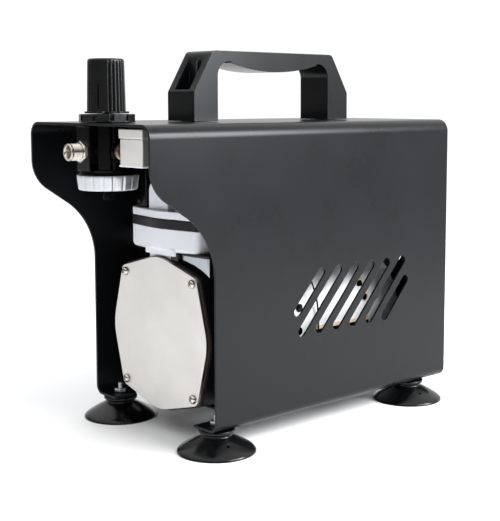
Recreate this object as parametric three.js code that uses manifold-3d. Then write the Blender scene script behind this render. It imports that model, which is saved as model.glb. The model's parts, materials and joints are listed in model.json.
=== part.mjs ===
// Airbrush compressor: an oil-less piston pump in a bent-steel wrap-around case.
// Millimetres, +Z up. Z = 0 is the floor under the suction feet, X = 0 is the middle plane,
// the regulator end faces -Y and Y = 0 is half way along the case.
import * as THREE from 'three';
import { mergeVertices } from 'three/addons/utils/BufferGeometryUtils.js';
import Module from 'manifold-3d';

const wasm = await Module();
wasm.setup();

// ---------------------------------------------------------------- driving dimensions

const GAP = 0.3;

const CASE = {
  halfWidth: 62,
  halfLength: 124.5,
  bottom: 14,
  top: 192,
  sheet: 1.5,
  topBend: 8,
  bottomBend: 6,
  lowerFront: -80.2,
  noseRadius: 22,
  noseCentreZ: 168.6,
  hollowRadius: 44,
  hollowCentreZ: 103.9,
  curveAngle: 59,
  lipEdge: 52,
  tabEdge: 41,
  tabLength: 19.2,
  tabCorner: 5,
};

const SLOT = {
  count: 7,
  pitch: 15,
  firstFoot: -30.4,
  slope: 48,
  width: 6.2,
  low: 61.5,
  high: 102.8,
  shortLow: 74.3,
  shortHigh: 89.5,
};

const FOOT = { x: 49.5, frontY: -70, rearY: 100, rimRadius: 23.5 };

const HANDLE = {
  front: -56.3,
  rear: 75.9,
  halfWidth: 13.3,
  base: CASE.top + GAP,
  shoulder: 210,
  top: 235.3,
  bevel: 1.4,
  legLength: 18.5,
  archRadius: 9,
  bowRadius: 137,
  bowLow: 222.8,
  bowAngle: 16.5,
  screwInset: 9.3,
};

const REG = {
  y: -110,
  columnRadius: 12.5,
  flangeRadius: 16.7,
  flangeLow: 162.4,
  low: 165,
  high: CASE.top - CASE.sheet - GAP,
  neckRadius: 11.8,
  neckTop: 197.2,
  portHalf: 6.6,
  portFace: -124.3,
  portZ: 175.7,
  springBore: 9,
  springFloor: 181,
  chamberRadius: 6,
  chamberFloor: 171,
  knobLow: 198.7,
  knobHigh: 228.8,
  knobRadius: 11.4,
};

const PUMP = {
  axisZ: 63,
  boreY: -47,
  throw: 4,
  rodLength: 42.5,
  boreRadius: 12.5,
  face: -72,
  back: -27.5,
  cavityRadius: 30,
  cavityBack: -35.5,
  deck: 108,
  crankPinRadius: 5,
  shaftRadius: 5,
};

const COVER = { half: 46.8, halfHigh: 47.2, cornerX: 34, cornerZ: 34.6, cornerRadius: 4.3, crest: 32,
    front: -75.3, sheet: 2 };

const HEAD = { half: 37, halfDeep: 28, cornerX: 30, cornerY: 20, cornerRadius: 4, crest: 60, portX: -4,
    portY: -55 };

const MOTOR = { front: -14, rear: 97.5, radius: 38, wall: 1.8, rotorRadius: 23.4 };

const REAR = { y: 117.5, sheet: 1.5, switchX: 30, switchZ: 150, glandX: -30, glandZ: 42, glandEnd: 136.8 };

// ---------------------------------------------------------------- finishes

function finish(colour, roughness, metalness) {
  return { color: colour, roughness, metalness };
}

const BLACK_PAINT = finish(0x3b3d40, 0.42, 0.2);
const BLACK_PLASTIC = finish(0x2e3032, 0.5, 0.0);
const GLOSS_BLACK = finish(0x0d0d0f, 0.18, 0.0);
const BLACK_CASTING = finish(0x1b1c1f, 0.5, 0.3);
const BLACK_RUBBER = finish(0x121214, 0.35, 0.0);
const SATIN_NICKEL = finish(0xd6d2ca, 0.32, 0.9);
const BRIGHT_NICKEL = finish(0xd9d4cc, 0.2, 1.0);
const SILVER = finish(0xc4c8cc, 0.3, 0.9);
const WHITE_PAINT = finish(0xeceef2, 0.35, 0.0);
const GASKET_BROWN = finish(0x4a3a2e, 0.8, 0.0);
const STEEL = finish(0x9a9da1, 0.35, 1.0);
const BRASS = finish(0xb08d4a, 0.3, 1.0);
const COPPER = finish(0xb87333, 0.4, 1.0);
const BRONZE = finish(0x8f8674, 0.7, 0.6);
const TUBE_BLUE = finish(0x5a6a78, 0.45, 0.0);

// ---------------------------------------------------------------- solid helpers

const group = new THREE.Group();
const radians = THREE.MathUtils.degToRad;

function toSolid(geometry) {
  const plain = geometry.clone();
  plain.deleteAttribute('normal');
  plain.deleteAttribute('uv');
  const merged = mergeVertices(plain, 1e-4);
  return new wasm.Manifold(new wasm.Mesh({
    numProp: 3,
    vertProperties: new Float32Array(merged.attributes.position.array),
    triVerts: new Uint32Array(merged.index.array),
  }));
}

function cut(body, ...tools) {
  return tools.reduce((rest, tool) => rest.subtract(tool), body);
}

function join(first, ...others) {
  return others.reduce((sum, other) => sum.add(other), first);
}

function addPart(name, solid, look) {
  const mesh = solid.getMesh();
  const geometry = new THREE.BufferGeometry();
  geometry.setAttribute('position', new THREE.BufferAttribute(new Float32Array(mesh.vertProperties), 3));
  geometry.setIndex(new THREE.BufferAttribute(new Uint32Array(mesh.triVerts), 1));
  geometry.computeVertexNormals();
  const part = new THREE.Mesh(geometry, new THREE.MeshStandardMaterial(look));
  part.name = name;
  group.add(part);
}

function arc(cx, cy, radius, from, to, steps) {
  const points = [];
  for (let i = 0; i <= steps; i += 1) {
    const angle = radians(from + ((to - from) * i) / steps);
    points.push(new THREE.Vector2(cx + radius * Math.cos(angle), cy + radius * Math.sin(angle)));
  }
  return points;
}

function ring(radius, sides, turn = 0) {
  return arc(0, 0, radius, turn, turn + 360, sides).slice(0, sides);
}

// Corners are [x, y, fillet radius], listed anticlockwise or clockwise.
function filleted(corners, steps = 4) {
  const points = [];
  corners.forEach(([x, y, radius], i) => {
    const corner = new THREE.Vector2(x, y);
    if (!radius) {
      points.push(corner);
      return;
    }
    const [px, py] = corners.at(i - 1);
    const [nx, ny] = corners[(i + 1) % corners.length];
    const back = new THREE.Vector2(px - x, py - y).normalize();
    const ahead = new THREE.Vector2(nx - x, ny - y).normalize();
    const half = Math.acos(back.dot(ahead)) / 2;
    const middle = back.clone().add(ahead).normalize();
    const centre = corner.clone().addScaledVector(middle, radius / Math.sin(half));
    const start = corner.clone().addScaledVector(back, radius / Math.tan(half)).sub(centre);
    const end = corner.clone().addScaledVector(ahead, radius / Math.tan(half)).sub(centre);
    const turn = Math.atan2(start.cross(end), start.dot(end));
    for (let k = 0; k <= steps; k += 1) {
      points.push(start.clone().rotateAround(new THREE.Vector2(), (turn * k) / steps).add(centre));
    }
  });
  return points;
}

function orient(points) {
  return THREE.ShapeUtils.isClockWise(points) ? points.reverse() : points;
}

function rectangle(x0, y0, x1, y1, radius = 0, steps = 4) {
  return filleted([[x0, y0, radius], [x1, y0, radius], [x1, y1, radius], [x0, y1, radius]], steps);
}

// A square with round corners, whose straight sides rise to a rounded crest half way along.
function crestedSquare(halfX, halfY, cornerX, cornerY, radius, crestRadius, crestSteps = 5,
    cornerSteps = 3) {
  const lean = (half, along, across) => {
    const rise = along - half + crestRadius;
    const reach = Math.acos((crestRadius - radius) / Math.hypot(across, rise));
    return THREE.MathUtils.radToDeg(Math.atan2(across, rise) - reach);
  };
  const ax = lean(halfX, cornerX, cornerY);
  const ay = lean(halfY, cornerY, cornerX);
  const corner = (sx, sy, from, to) => arc(sx * cornerX, sy * cornerY, radius, from, to, cornerSteps);
  return [
    ...arc(halfX - crestRadius, 0, crestRadius, -ax, ax, crestSteps),
    ...corner(1, 1, ax, 90 - ay),
    ...arc(0, halfY - crestRadius, crestRadius, 90 - ay, 90 + ay, crestSteps),
    ...corner(-1, 1, 90 + ay, 180 - ax),
    ...arc(crestRadius - halfX, 0, crestRadius, 180 - ax, 180 + ax, crestSteps),
    ...corner(-1, -1, 180 + ax, 270 - ay),
    ...arc(0, crestRadius - halfY, crestRadius, 270 - ay, 270 + ay, crestSteps),
    ...corner(1, -1, 270 + ay, 360 - ax),
  ];
}

function extrude(points, length, options = {}) {
  const shape = new THREE.Shape(points);
  return new THREE.ExtrudeGeometry(shape, { depth: length, bevelEnabled: false, ...options });
}

// Outline in (x, y), from z0 up to z1.
function prismZ(points, z0, z1) {
  return toSolid(extrude(points, z1 - z0).translate(0, 0, z0));
}

// Outline in (x, z), from y0 to y1.
function prismY(points, y0, y1) {
  return toSolid(extrude(points, y1 - y0).rotateX(Math.PI / 2).translate(0, y1, 0));
}

const alongX = new THREE.Matrix4().makeBasis(
  new THREE.Vector3(0, 1, 0),
  new THREE.Vector3(0, 0, 1),
  new THREE.Vector3(1, 0, 0),
);

// Outline in (y, z), from x0 to x1.
function prismX(points, x0, x1) {
  return toSolid(extrude(points, x1 - x0).applyMatrix4(alongX).translate(x0, 0, 0));
}

function box(x0, y0, z0, x1, y1, z1) {
  return prismZ(rectangle(x0, y0, x1, y1), z0, z1);
}

// Profile in [radius, height], turned about the Z axis.
function turned(profile, sides = 24) {
  const points = profile.map(([r, z]) => new THREE.Vector2(r, z));
  return toSolid(new THREE.LatheGeometry(points, sides).rotateX(Math.PI / 2));
}

function turnedZ(profile, x, y, sides = 24) {
  return turned(profile, sides).translate([x, y, 0]);
}

// Profile in [radius, y], turned about a line along Y.
function turnedY(profile, x, z, sides = 24) {
  return turned(profile, sides).rotate([-90, 0, 0]).translate([x, 0, z]);
}

// Profile in [radius, x], turned about a line along X.
function turnedX(profile, y, z, sides = 24) {
  return turned(profile, sides).rotate([0, 90, 0]).translate([0, y, z]);
}

function rod(radius, low, high) {
  return [[0, low], [radius, low], [radius, high], [0, high]];
}

function tube(inner, outer, low, high) {
  return [[inner, low], [outer, low], [outer, high], [inner, high], [inner, low]];
}

// One outline repeated at several heights, each with its own scale about the Z axis.
function lofted(points, levels) {
  const geometry = extrude(points, levels.length - 1, { steps: levels.length - 1 });
  const position = geometry.attributes.position;
  for (let i = 0; i < position.count; i += 1) {
    const [height, scale] = levels[Math.round(position.getZ(i))];
    position.setXYZ(i, position.getX(i) * scale, position.getY(i) * scale, height);
  }
  return toSolid(geometry);
}

function pipe(route, radius, steps, sides = 10) {
  const path = new THREE.CatmullRomCurve3(route.map(([x, y, z]) => new THREE.Vector3(x, y, z)), false,
      'centripetal');
  return toSolid(extrude(ring(radius, sides), 1, { steps, extrudePath: path }));
}

// ---------------------------------------------------------------- case

function wrapPath(inset) {
  const { halfWidth, topBend, bottomBend, bottom, top, tabEdge } = CASE;
  const lowX = halfWidth - bottomBend;
  const lowZ = bottom + bottomBend;
  const highX = halfWidth - topBend;
  const highZ = top - topBend;
  return [
    new THREE.Vector2(-tabEdge, bottom + inset),
    ...arc(-lowX, lowZ, bottomBend - inset, 270, 180, 5),
    ...arc(-highX, highZ, topBend - inset, 180, 90, 6),
    ...arc(highX, highZ, topBend - inset, 90, 0, 6),
    ...arc(lowX, lowZ, bottomBend - inset, 0, -90, 5),
    new THREE.Vector2(tabEdge, bottom + inset),
  ];
}

function frontCutter() {
  const noseY = -CASE.halfLength + CASE.noseRadius;
  const hollowY = CASE.lowerFront - CASE.hollowRadius;
  const outside = -CASE.halfLength - 20;
  const outline = [
    new THREE.Vector2(outside, 0),
    new THREE.Vector2(CASE.lowerFront, 0),
    ...arc(hollowY, CASE.hollowCentreZ, CASE.hollowRadius, 0, CASE.curveAngle, 9),
    ...arc(noseY, CASE.noseCentreZ, CASE.noseRadius, 180 + CASE.curveAngle, 180, 7),
    new THREE.Vector2(outside, CASE.noseCentreZ),
  ];
  return prismX(outline, -CASE.halfWidth - 5, CASE.halfWidth + 5);
}

function slotOutline(index, low, high) {
  const lean = 1 / Math.tan(radians(SLOT.slope));
  const r = SLOT.width / 2;
  const start = SLOT.firstFoot + index * SLOT.pitch;
  const at = (z) => start + (z - SLOT.low) * lean;
  return [
    ...arc(at(high - r), high - r, r, SLOT.slope - 90, SLOT.slope + 90, 4),
    ...arc(at(low + r), low + r, r, SLOT.slope + 90, SLOT.slope + 270, 4),
  ];
}

function sideSlots() {
  const slots = [];
  for (let i = 0; i < SLOT.count; i += 1) {
    const low = i === 0 ? SLOT.shortLow : SLOT.low;
    const high = i === SLOT.count - 1 ? SLOT.shortHigh : SLOT.high;
    slots.push(prismX(slotOutline(i, low, high), -CASE.halfWidth - 5, CASE.halfWidth + 5));
  }
  return slots;
}

function tabStarts() {
  return [CASE.lowerFront, FOOT.rearY - CASE.tabLength / 2];
}

function lipCutter() {
  const slab = box(-CASE.lipEdge, -CASE.halfLength - 5, CASE.bottom - 5, CASE.lipEdge,
      CASE.halfLength + 5, CASE.bottom + 4);
  const tabs = [];
  for (const side of [-1, 1]) {
    for (const y of tabStarts()) {
      const [x0, x1] = [side * CASE.tabEdge, side * (CASE.lipEdge + 8)].sort((a, b) => a - b);
      const outline = rectangle(x0, y, x1, y + CASE.tabLength, CASE.tabCorner);
      tabs.push(prismZ(outline, CASE.bottom - 6, CASE.bottom + 5));
    }
  }
  return cut(slab, ...tabs);
}

function footPlaces() {
  return [[1, FOOT.frontY], [-1, FOOT.frontY], [1, FOOT.rearY], [-1, FOOT.rearY]].map(([s,
      y]) => [s * FOOT.x, y]);
}

function handleScrewYs() {
  return [HANDLE.front + HANDLE.screwInset, HANDLE.rear - HANDLE.screwInset];
}

function shell() {
  const outline = [...wrapPath(0), ...wrapPath(CASE.sheet).reverse()];
  const blank = prismY(outline, -CASE.halfLength, CASE.halfLength);
  const feet = footPlaces().map(([x, y]) => turnedZ(rod(2.3, CASE.bottom - 5, CASE.bottom + 5), x, y, 8));
  const nut = turnedZ(rod(REG.neckRadius + GAP, CASE.top - 5, CASE.top + 5), 0, REG.y, 24);
  const screws = handleScrewYs().map((y) => turnedZ(rod(2.8, CASE.top - 5, CASE.top + 5), 0, y, 8));
  return cut(blank, frontCutter(), lipCutter(), nut, ...sideSlots(), ...feet, ...screws);
}

function rearPanel() {
  const edge = CASE.halfWidth - CASE.sheet - GAP;
  const high = CASE.top - CASE.sheet - GAP;
  const low = CASE.bottom + CASE.sheet + GAP;
  const outline = filleted([[-edge, low, 5], [edge, low, 5], [edge, high, 6.9], [-edge, high, 6.9]], 4);
  const plate = prismY(outline, REAR.y, REAR.y + REAR.sheet);
  const flange = box(-edge + 5, REAR.y - 8, low, edge - 5, REAR.y + 0.5, low + REAR.sheet);
  const sx = REAR.switchX;
  const sz = REAR.switchZ;
  const window = box(sx - 7, REAR.y - 3, sz - 10.5, sx + 7, REAR.y + 5, sz + 10.5);
  const hole = turnedY(rod(6.2, REAR.y - 3, REAR.y + 5), REAR.glandX, REAR.glandZ, 16);
  const vents = [];
  for (let i = 0; i < 6; i += 1) {
    const x = -32.5 + 13 * i;
    const lean = 8;
    const slot = [...arc(x + lean, 118, 2, -45, 135, 4), ...arc(x - lean, 94, 2, 135, 315, 4)];
    vents.push(prismY(slot, REAR.y - 3, REAR.y + 5));
  }
  return cut(join(plate, flange), window, hole, ...vents);
}

function handleProfile() {
  const { front, rear, base, shoulder, top, legLength, archRadius, bowRadius, bowLow, bowAngle } = HANDLE;
  const middle = (front + rear) / 2;
  const innerFront = front + legLength;
  const innerRear = rear - legLength;
  const bowZ = bowLow + bowRadius;
  const archZ = bowZ - bowRadius * Math.cos(radians(bowAngle)) - archRadius * Math.cos(radians(bowAngle));
  const outer = filleted([
    [rear, base, 0], [rear, shoulder, 2], [rear - 15, top, 3], [front + 15, top, 3], [front, shoulder, 2],
        [front, base, 0],
  ], 3);
  const inner = [
    new THREE.Vector2(innerFront, base),
    ...arc(innerFront + archRadius, archZ, archRadius, 180, 90 - bowAngle, 6),
    ...arc(middle, bowZ, bowRadius, 270 - bowAngle + 0.6, 270 + bowAngle - 0.6, 8),
    ...arc(innerRear - archRadius, archZ, archRadius, 90 + bowAngle, 0, 6),
    new THREE.Vector2(innerRear, base),
  ];
  return [...outer, ...inner];
}

function handlePocket(end) {
  const wall = 3;
  const depthY = 12.5;
  const ribY = 8.5;
  const floor = 206;
  const y = (inset) => end + Math.sign(-end) * inset;
  const outline = [[-5, 240], [-5, HANDLE.shoulder + 0.5], [wall, HANDLE.shoulder + 0.5], [wall, floor],
      [depthY, floor],
    [depthY, 240]];
  const half = HANDLE.halfWidth - 5.8;
  const whole = prismX(orient(outline.map(([a, b]) => new THREE.Vector2(y(a), b))), -half, half);
  const rib = box(-0.8, Math.min(y(ribY), y(depthY + 2)), floor - 1, 0.8, Math.max(y(ribY),
      y(depthY + 2)), 241);
  return cut(whole, rib);
}

function handle() {
  const { bevel, halfWidth } = HANDLE;
  const geometry = extrude(orient(handleProfile()), 2 * (halfWidth - bevel), {
    bevelEnabled: true, bevelThickness: bevel, bevelSize: bevel, bevelOffset: -bevel, bevelSegments: 2,
  });
  const body = toSolid(geometry.applyMatrix4(alongX).translate(-halfWidth + bevel, 0, 0));
  const bores = handleScrewYs().map((y) => turnedZ(rod(2.8, HANDLE.base - 2, 203), 0, y, 8));
  return cut(body, handlePocket(HANDLE.front), handlePocket(HANDLE.rear), ...bores);
}

function handleScrew(y) {
  const seat = CASE.top - CASE.sheet - GAP;
  const profile = [[0, seat - 3.2], [3.4, seat - 3.2], [4.6, seat - 2], [4.6, seat], [2.5, seat], [2.5,
      201], [2, 202], [0, 202]];
  return turnedZ(profile, 0, y, 12);
}

// ---------------------------------------------------------------- feet

function suctionFoot(x, y) {
  const top = CASE.bottom - GAP;
  const profile = [
    [0, 2.8], [17.3, 1.6], [21.6, 0], [FOOT.rimRadius, 0], [FOOT.rimRadius, 1], [20.4, 4.2], [16, 7],
        [10.4, 9.3],
    [9.4, 11.2], [10.8, 12], [10.8, top], [2.3, top], [2.3, 7], [0, 7],
  ];
  return turnedZ(profile, x, y, 20);
}

function footStud(x, y) {
  const seat = CASE.bottom + CASE.sheet + GAP;
  const nut = prismZ(ring(4.04, 6, 15), seat, seat + 2.4).translate([x, y, 0]);
  return join(turnedZ(rod(2, 8, 22), x, y, 10), nut);
}

// ---------------------------------------------------------------- regulator and trap

function regulatorBody() {
  const { y, low, high, portHalf, portFace, portZ } = REG;
  const column = prismZ(ring(REG.columnRadius, 14), low, high).translate([0, y, 0]);
  const block = box(-portHalf, portFace, low, portHalf, y, high);
  const sideBoss = turnedX(rod(6.2, 4, 13.4), y, portZ, 18);
  const rearBoss = turnedY(rod(5.4, y + 4, y + 15), 0, portZ - 3.5, 16);
  const neck = turnedZ(rod(REG.neckRadius, high - 1, REG.neckTop), 0, y, 24);
  const flange = turnedZ(rod(REG.flangeRadius, REG.flangeLow, low + 0.5), 0, y, 28);
  const bores = [
    turnedZ(rod(REG.springBore, REG.springFloor, REG.neckTop + 2), 0, y, 16),
    turnedZ(rod(REG.chamberRadius, REG.chamberFloor, REG.springFloor + 1), 0, y, 12),
    turnedZ(rod(3, REG.flangeLow - 2, REG.chamberFloor + 1), 0, y, 8),
    turnedY(rod(4.7, portFace - 2, portFace + 6), 0, portZ, 12),
    turnedY(rod(2.4, portFace - 2, y - 2), 0, portZ, 8),
    turnedX(rod(4.3, 9, 16), y, portZ, 12),
    turnedX(rod(2.4, 2, 16), y, portZ, 8),
    turnedY(rod(3.4, y + 11, y + 18), 0, portZ - 3.5, 10),
    turnedY(rod(1.8, y + 2, y + 18), 0, portZ - 3.5, 8),
  ];
  return cut(join(column, block, sideBoss, rearBoss, neck, flange), ...bores);
}

function outletNipple() {
  const face = REG.portFace - GAP;
  const thread = [[4.4, face + 5.6], [4.4, face], [5.2, face], [5.2, face - 3], [6.7, face - 3.6], [6.7,
      face - 5.2], [4.5, face - 5.6]];
  for (let i = 0; i < 3; i += 1) {
    const y = face - 6.2 - i * 1.8;
    thread.push([4.85, y], [4.45, y - 0.9]);
  }
  const tip = [[4.5, -136.3], [4.2, -136.8], [3.6, -136.8], [2, -133.8], [2, face + 5.6], [4.4,
      face + 5.6]];
  const hex = prismY(ring(6.9, 6, 30), face - 3.4, face).translate([0, 0, REG.portZ]);
  const bore = turnedY(rod(2.3, -140, face + 8), 0, REG.portZ, 8);
  const turnedPart = turnedY([...thread, ...tip].reverse(), 0, REG.portZ, 16);
  return join(turnedPart, cut(hex, bore));
}

const SWITCH_BOX = { x0: 27, x1: 48.4, y0: -120, y1: -100, low: 168.2, split: 183.9, high: 189.3 };

function unionFlange() {
  const high = SWITCH_BOX.x0 - GAP;
  const profile = [[2, 9.4], [4, 9.4], [4, 13.7], [5.7, 13.7], [5.7, 15.2], [4.2, 15.8], [4.2, 22], [5.4,
      22.4], [5.4, high],
    [2, high], [2, 9.4]];
  return turnedX(profile, REG.y, REG.portZ, 16);
}

function pressureSwitchBody() {
  const { x0, x1, y0, y1, low, split } = SWITCH_BOX;
  const block = prismZ(rectangle(x0, y0, x1, y1, 0.8, 2), low, split - GAP);
  const cavity = prismZ(rectangle(x0 + 1.6, y0 + 1.6, x1 - 1.6, y1 - 1.6, 0.6, 2), low + 1.8, split + 2);
  const port = turnedX(rod(2.2, x0 - 3, x0 + 4), REG.y, REG.portZ, 12);
  return cut(block, cavity, port);
}

function pressureSwitchCap() {
  const { x0, x1, y0, y1, split, high } = SWITCH_BOX;
  return prismZ(rectangle(x0 - 0.7, y0 - 0.7, x1 + 0.7, y1 + 0.7, 1.2, 3), split, high);
}

function panelNut() {
  const low = CASE.top + GAP;
  const high = REG.neckTop - 0.1;
  const blank = prismZ(ring(16.6, 10, 12), low, high);
  const bore = turned(rod(REG.neckRadius + GAP, low - 2, high + 2), 24);
  const notches = [];
  for (let i = 0; i < 10; i += 1) {
    const notch = box(14.9, -1, low + 1.2, 18, 1, high + 2);
    notches.push(notch.rotate([0, 0, 12 + 36 * i]));
  }
  return cut(blank, bore, ...notches).translate([0, REG.y, 0]);
}

function adjustingScrew() {
  const seat = REG.neckTop + GAP;
  const collar = [[0, 186.5], [2, 186.5], [2.8, 187.4], [2.8, seat], [9.6, seat], [9.6, seat + 1.4], [2.8,
      seat + 1.4], [2.8, 203],
    [0, 203]];
  const drive = prismZ(ring(3.4, 6), 202, 216);
  return join(turned(collar, 16), drive).translate([0, REG.y, 0]);
}

// Three smooth flats alternate with three ribbed stretches round the knob.
function knobOutline(radius) {
  const points = [];
  for (let section = 0; section < 3; section += 1) {
    const start = -88 + 120 * section;
    points.push(...arc(0, 0, radius, start, start + 56, 4));
    for (let rib = 0; rib < 4; rib += 1) {
      const at = start + 56 + 12.8 * (rib + 1);
      const groove = arc(0, 0, radius - 0.8, at - 8.4, at - 4.8, 1);
      const crest = arc(0, 0, radius, at - 3.2, at, 1);
      points.push(...groove, ...crest);
    }
  }
  return points;
}

function knob() {
  const { knobLow, knobHigh, knobRadius } = REG;
  const levels = [[knobLow, 1], [knobHigh - 1.4, 0.95], [knobHigh, 0.88]];
  const grip = lofted(knobOutline(knobRadius), levels);
  const skirt = turned([[0, knobLow - 1.2], [12.9, knobLow - 1.2], [12.9, knobLow - 0.1], [11.2,
      knobLow + 0.6], [0, knobLow + 0.6]], 24);
  const hollow = turned([[0, knobLow - 3], [10, knobLow - 3], [9.4, 210], [0, 210]], 16);
  const socket = prismZ(ring(3.75, 6), 208, 222);
  const slit = box(knobRadius - 2.4, -0.45, knobLow + 1.4, knobRadius + 2, 0.45, knobLow + 15).rotate([0,
      0, -50]);
  return cut(join(grip, skirt), hollow, socket, slit).translate([0, REG.y, 0]);
}

function springFollower() {
  const plate = turned(tube(3.1, 8.6, 192.2, 194.6), 20);
  const guide = turned(tube(3.1, 4.6, 190, 192.3), 16);
  return join(plate, guide).translate([0, REG.y, 0]);
}

function regulatorSpring() {
  const coils = 3.5;
  const radius = 6.6;
  const route = [];
  const stepsPerTurn = 10;
  const total = coils * stepsPerTurn;
  for (let i = 0; i <= total; i += 1) {
    const angle = (2 * Math.PI * i) / stepsPerTurn;
    route.push([radius * Math.cos(angle), REG.y + radius * Math.sin(angle), 183.6 + (7.5 * i) / total]);
  }
  return pipe(route, 0.7, total, 6);
}

function diaphragm() {
  const z = REG.springFloor + GAP;
  return turnedZ([[0, z], [8.7, z], [8.7, z + 0.9], [5, z + 0.9], [4.6, z + 1.3], [0, z + 1.3]], 0, REG.y,
      20);
}

function trapBowl() {
  const low = 153.4;
  const high = 162.1;
  const outline = [];
  for (let i = 0; i < 18; i += 1) {
    outline.push(...arc(0, 0, 18, 20 * i, 20 * i + 13, 1), ...arc(0, 0, 17.3, 20 * i + 16.5, 20 * i + 20,
        1).slice(0, 1));
  }
  const skin = lofted(outline, [[low, 0.925], [low + 0.8, 0.95], [high, 1]]);
  const cavity = turned([[0, low + 1.8], [12.6, low + 1.8], [13.5, low + 3], [13.5, high + 2], [0,
      high + 2]], 20);
  const drain = turned(rod(2.1, low - 2, low + 3), 10);
  return cut(skin, cavity, drain).translate([0, REG.y, 0]);
}

function filterElement() {
  return turnedZ(tube(5, 8, 155.8, 161.8), 0, REG.y, 16);
}

function drainValve() {
  const profile = [[0, 147.4], [2.6, 147.4], [3, 148], [3, 150.6], [1.8, 151], [1.8, 155.6], [3.2, 155.6],
    [3.2, 156.6], [1.4, 157.4], [0, 157.4]];
  return turnedZ(profile, 0, REG.y, 14);
}

// ---------------------------------------------------------------- pump

function headOutline(grow = 0) {
  const { half, halfDeep, cornerX, cornerY, cornerRadius, crest } = HEAD;
  return crestedSquare(half + grow, halfDeep + grow, cornerX, cornerY, cornerRadius + grow, crest + grow);
}

function headSolid(z0, z1, grow = 0) {
  return prismZ(headOutline(grow), z0, z1).translate([0, PUMP.boreY, 0]);
}

function cylinderHead() {
  const plate = headSolid(133.8, 138.6);
  const arch = filleted([[-13.5, 138, 0], [5.5, 138, 0], [5.5, 157, 4], [-13.5, 157, 8]], 4);
  const block = prismY(arch, -71.5, -46);
  const ribs = [];
  for (let i = 0; i < 4; i += 1) {
    const y = -42 + i * 5;
    ribs.push(box(-26, y, 138, 26, y + 1.6, 145));
  }
  const barb = turnedZ([[0, 155], [4.6, 155], [4.6, 160], [3.2, 160.6], [3.2, 166], [0, 166]], HEAD.portX,
      HEAD.portY, 16);
  const port = turnedZ(rod(1.8, 130, 170), HEAD.portX, HEAD.portY, 12);
  return cut(join(plate, block, barb, ...ribs), port);
}

function valvePlate() {
  const port = turnedZ(rod(3, 120, 140), HEAD.portX, HEAD.portY, 14);
  const inlet = turnedZ(rod(2.6, 120, 140), 4, PUMP.boreY + 6, 12);
  return cut(headSolid(128, 133.5, 0.4), port, inlet);
}

function cylinder() {
  const block = lofted(headOutline(), [[115, 0.9], [116.2, 0.965], [118, 1], [127.7, 1]]).translate([0,
      PUMP.boreY, 0]);
  const neck = prismZ(rectangle(-15.5, -71.7, 15.5, -29, 4, 3), PUMP.deck + GAP, 116);
  const boss = prismY(arc(0, 101, 15, 0, 180, 12), -72.3, -71).trimByPlane([0, 0, 1], PUMP.deck + 2.6);
  const bore = turnedZ(rod(PUMP.boreRadius, 90, 140), 0, PUMP.boreY, 24);
  return cut(join(block, neck, boss), bore);
}

function coverOutline(shrink = 0) {
  const { half, halfHigh, cornerX, cornerZ, cornerRadius, crest } = COVER;
  const [wide, high] = [half - shrink, halfHigh - shrink];
  const points = crestedSquare(wide, high, cornerX, cornerZ, cornerRadius - shrink, crest - shrink);
  return points.map((p) => new THREE.Vector2(p.x, p.y + PUMP.axisZ));
}

function coverScrewPlaces() {
  return [[-1, 1], [1, 1], [-1, -1], [1, -1]].map(([sx, sz]) => [sx * COVER.cornerX,
      PUMP.axisZ + sz * COVER.cornerZ]);
}

function coverPlate() {
  const holes = coverScrewPlaces().map(([x, z]) => turnedY(rod(1.9, -80, -70), x, z, 8));
  return cut(prismY(coverOutline(), COVER.front, COVER.front + COVER.sheet), ...holes);
}

function coverGasket() {
  const low = COVER.front + COVER.sheet + 0.1;
  const holes = coverScrewPlaces().map(([x, z]) => turnedY(rod(1.9, -80, -70), x, z, 8));
  const window = turnedY(rod(31, -80, -70), 0, PUMP.axisZ, 24);
  return cut(prismY(coverOutline(0.5), low, PUMP.face - 0.1), window, ...holes);
}

function coverScrew(x, z) {
  const face = COVER.front - GAP / 2;
  const profile = [[0, face - 2], [1.5, face - 1.9], [2.4, face - 1.2], [2.8, face - 0.3], [2.8, face],
      [1.5, face],
    [1.5, -66.5], [0, -66.5]];
  const slot = () => box(-1.5, face - 3, -0.3, 1.5, face - 0.9, 0.3);
  const cross = join(slot(), slot().rotate([0, 90, 0])).rotate([0, 22, 0]).translate([x, 0, z]);
  return cut(turnedY(profile, x, z, 12), cross);
}

function crankcase() {
  const { axisZ, boreY, face, back, cavityBack, cavityRadius, deck } = PUMP;
  const body = prismY(coverOutline(1.2), face, back);
  const top = box(-60, face - 2, deck, 60, back + 2, deck + 20);
  const seat = box(-60, face + 6, 0, 60, back + 2, 23.9);
  const cavity = turnedY(rod(cavityRadius, face - 2, cavityBack), 0, axisZ, 28);
  const throat = turnedZ(rod(PUMP.boreRadius + 0.3, axisZ + 20, deck + 5), 0, boreY, 20);
  const bearing = turnedY(rod(11.3, cavityBack - 2, back + 2), 0, axisZ, 20);
  const holes = coverScrewPlaces().map(([x, z]) => turnedY(rod(1.9, face - 2, face + 7), x, z, 8));
  const corners = cut(box(-60, back - 4, 0, 60, back + 2, 120), turnedY(rod(30, back - 6, back + 4), 0,
      axisZ, 24));
  return cut(body, top, seat, cavity, throat, bearing, corners, ...holes);
}

function mainBearing() {
  return turnedY(tube(PUMP.shaftRadius + GAP, 11, PUMP.cavityBack + 0.2, PUMP.back), 0, PUMP.axisZ, 20);
}

function crankshaft() {
  const { axisZ, shaftRadius, crankPinRadius, throw: reach } = PUMP;
  const shaft = turnedY(rod(shaftRadius, -37, MOTOR.rear + 15), 0, axisZ, 16);
  const cheek = turnedY(rod(10.5, -43, -36.4), 0, axisZ, 20);
  const weightOutline = [...arc(0, axisZ, 23, 205, 335, 9), ...arc(0, axisZ, 6, 335, 205, 3)];
  const weight = prismY(orient(weightOutline), -43, -36.4);
  const pin = turnedY(rod(crankPinRadius, -51.5, -42), 0, axisZ + reach, 16);
  return join(shaft, cheek, weight, pin);
}

function rodSmallZ() {
  return PUMP.axisZ + PUMP.throw + PUMP.rodLength;
}

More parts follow.
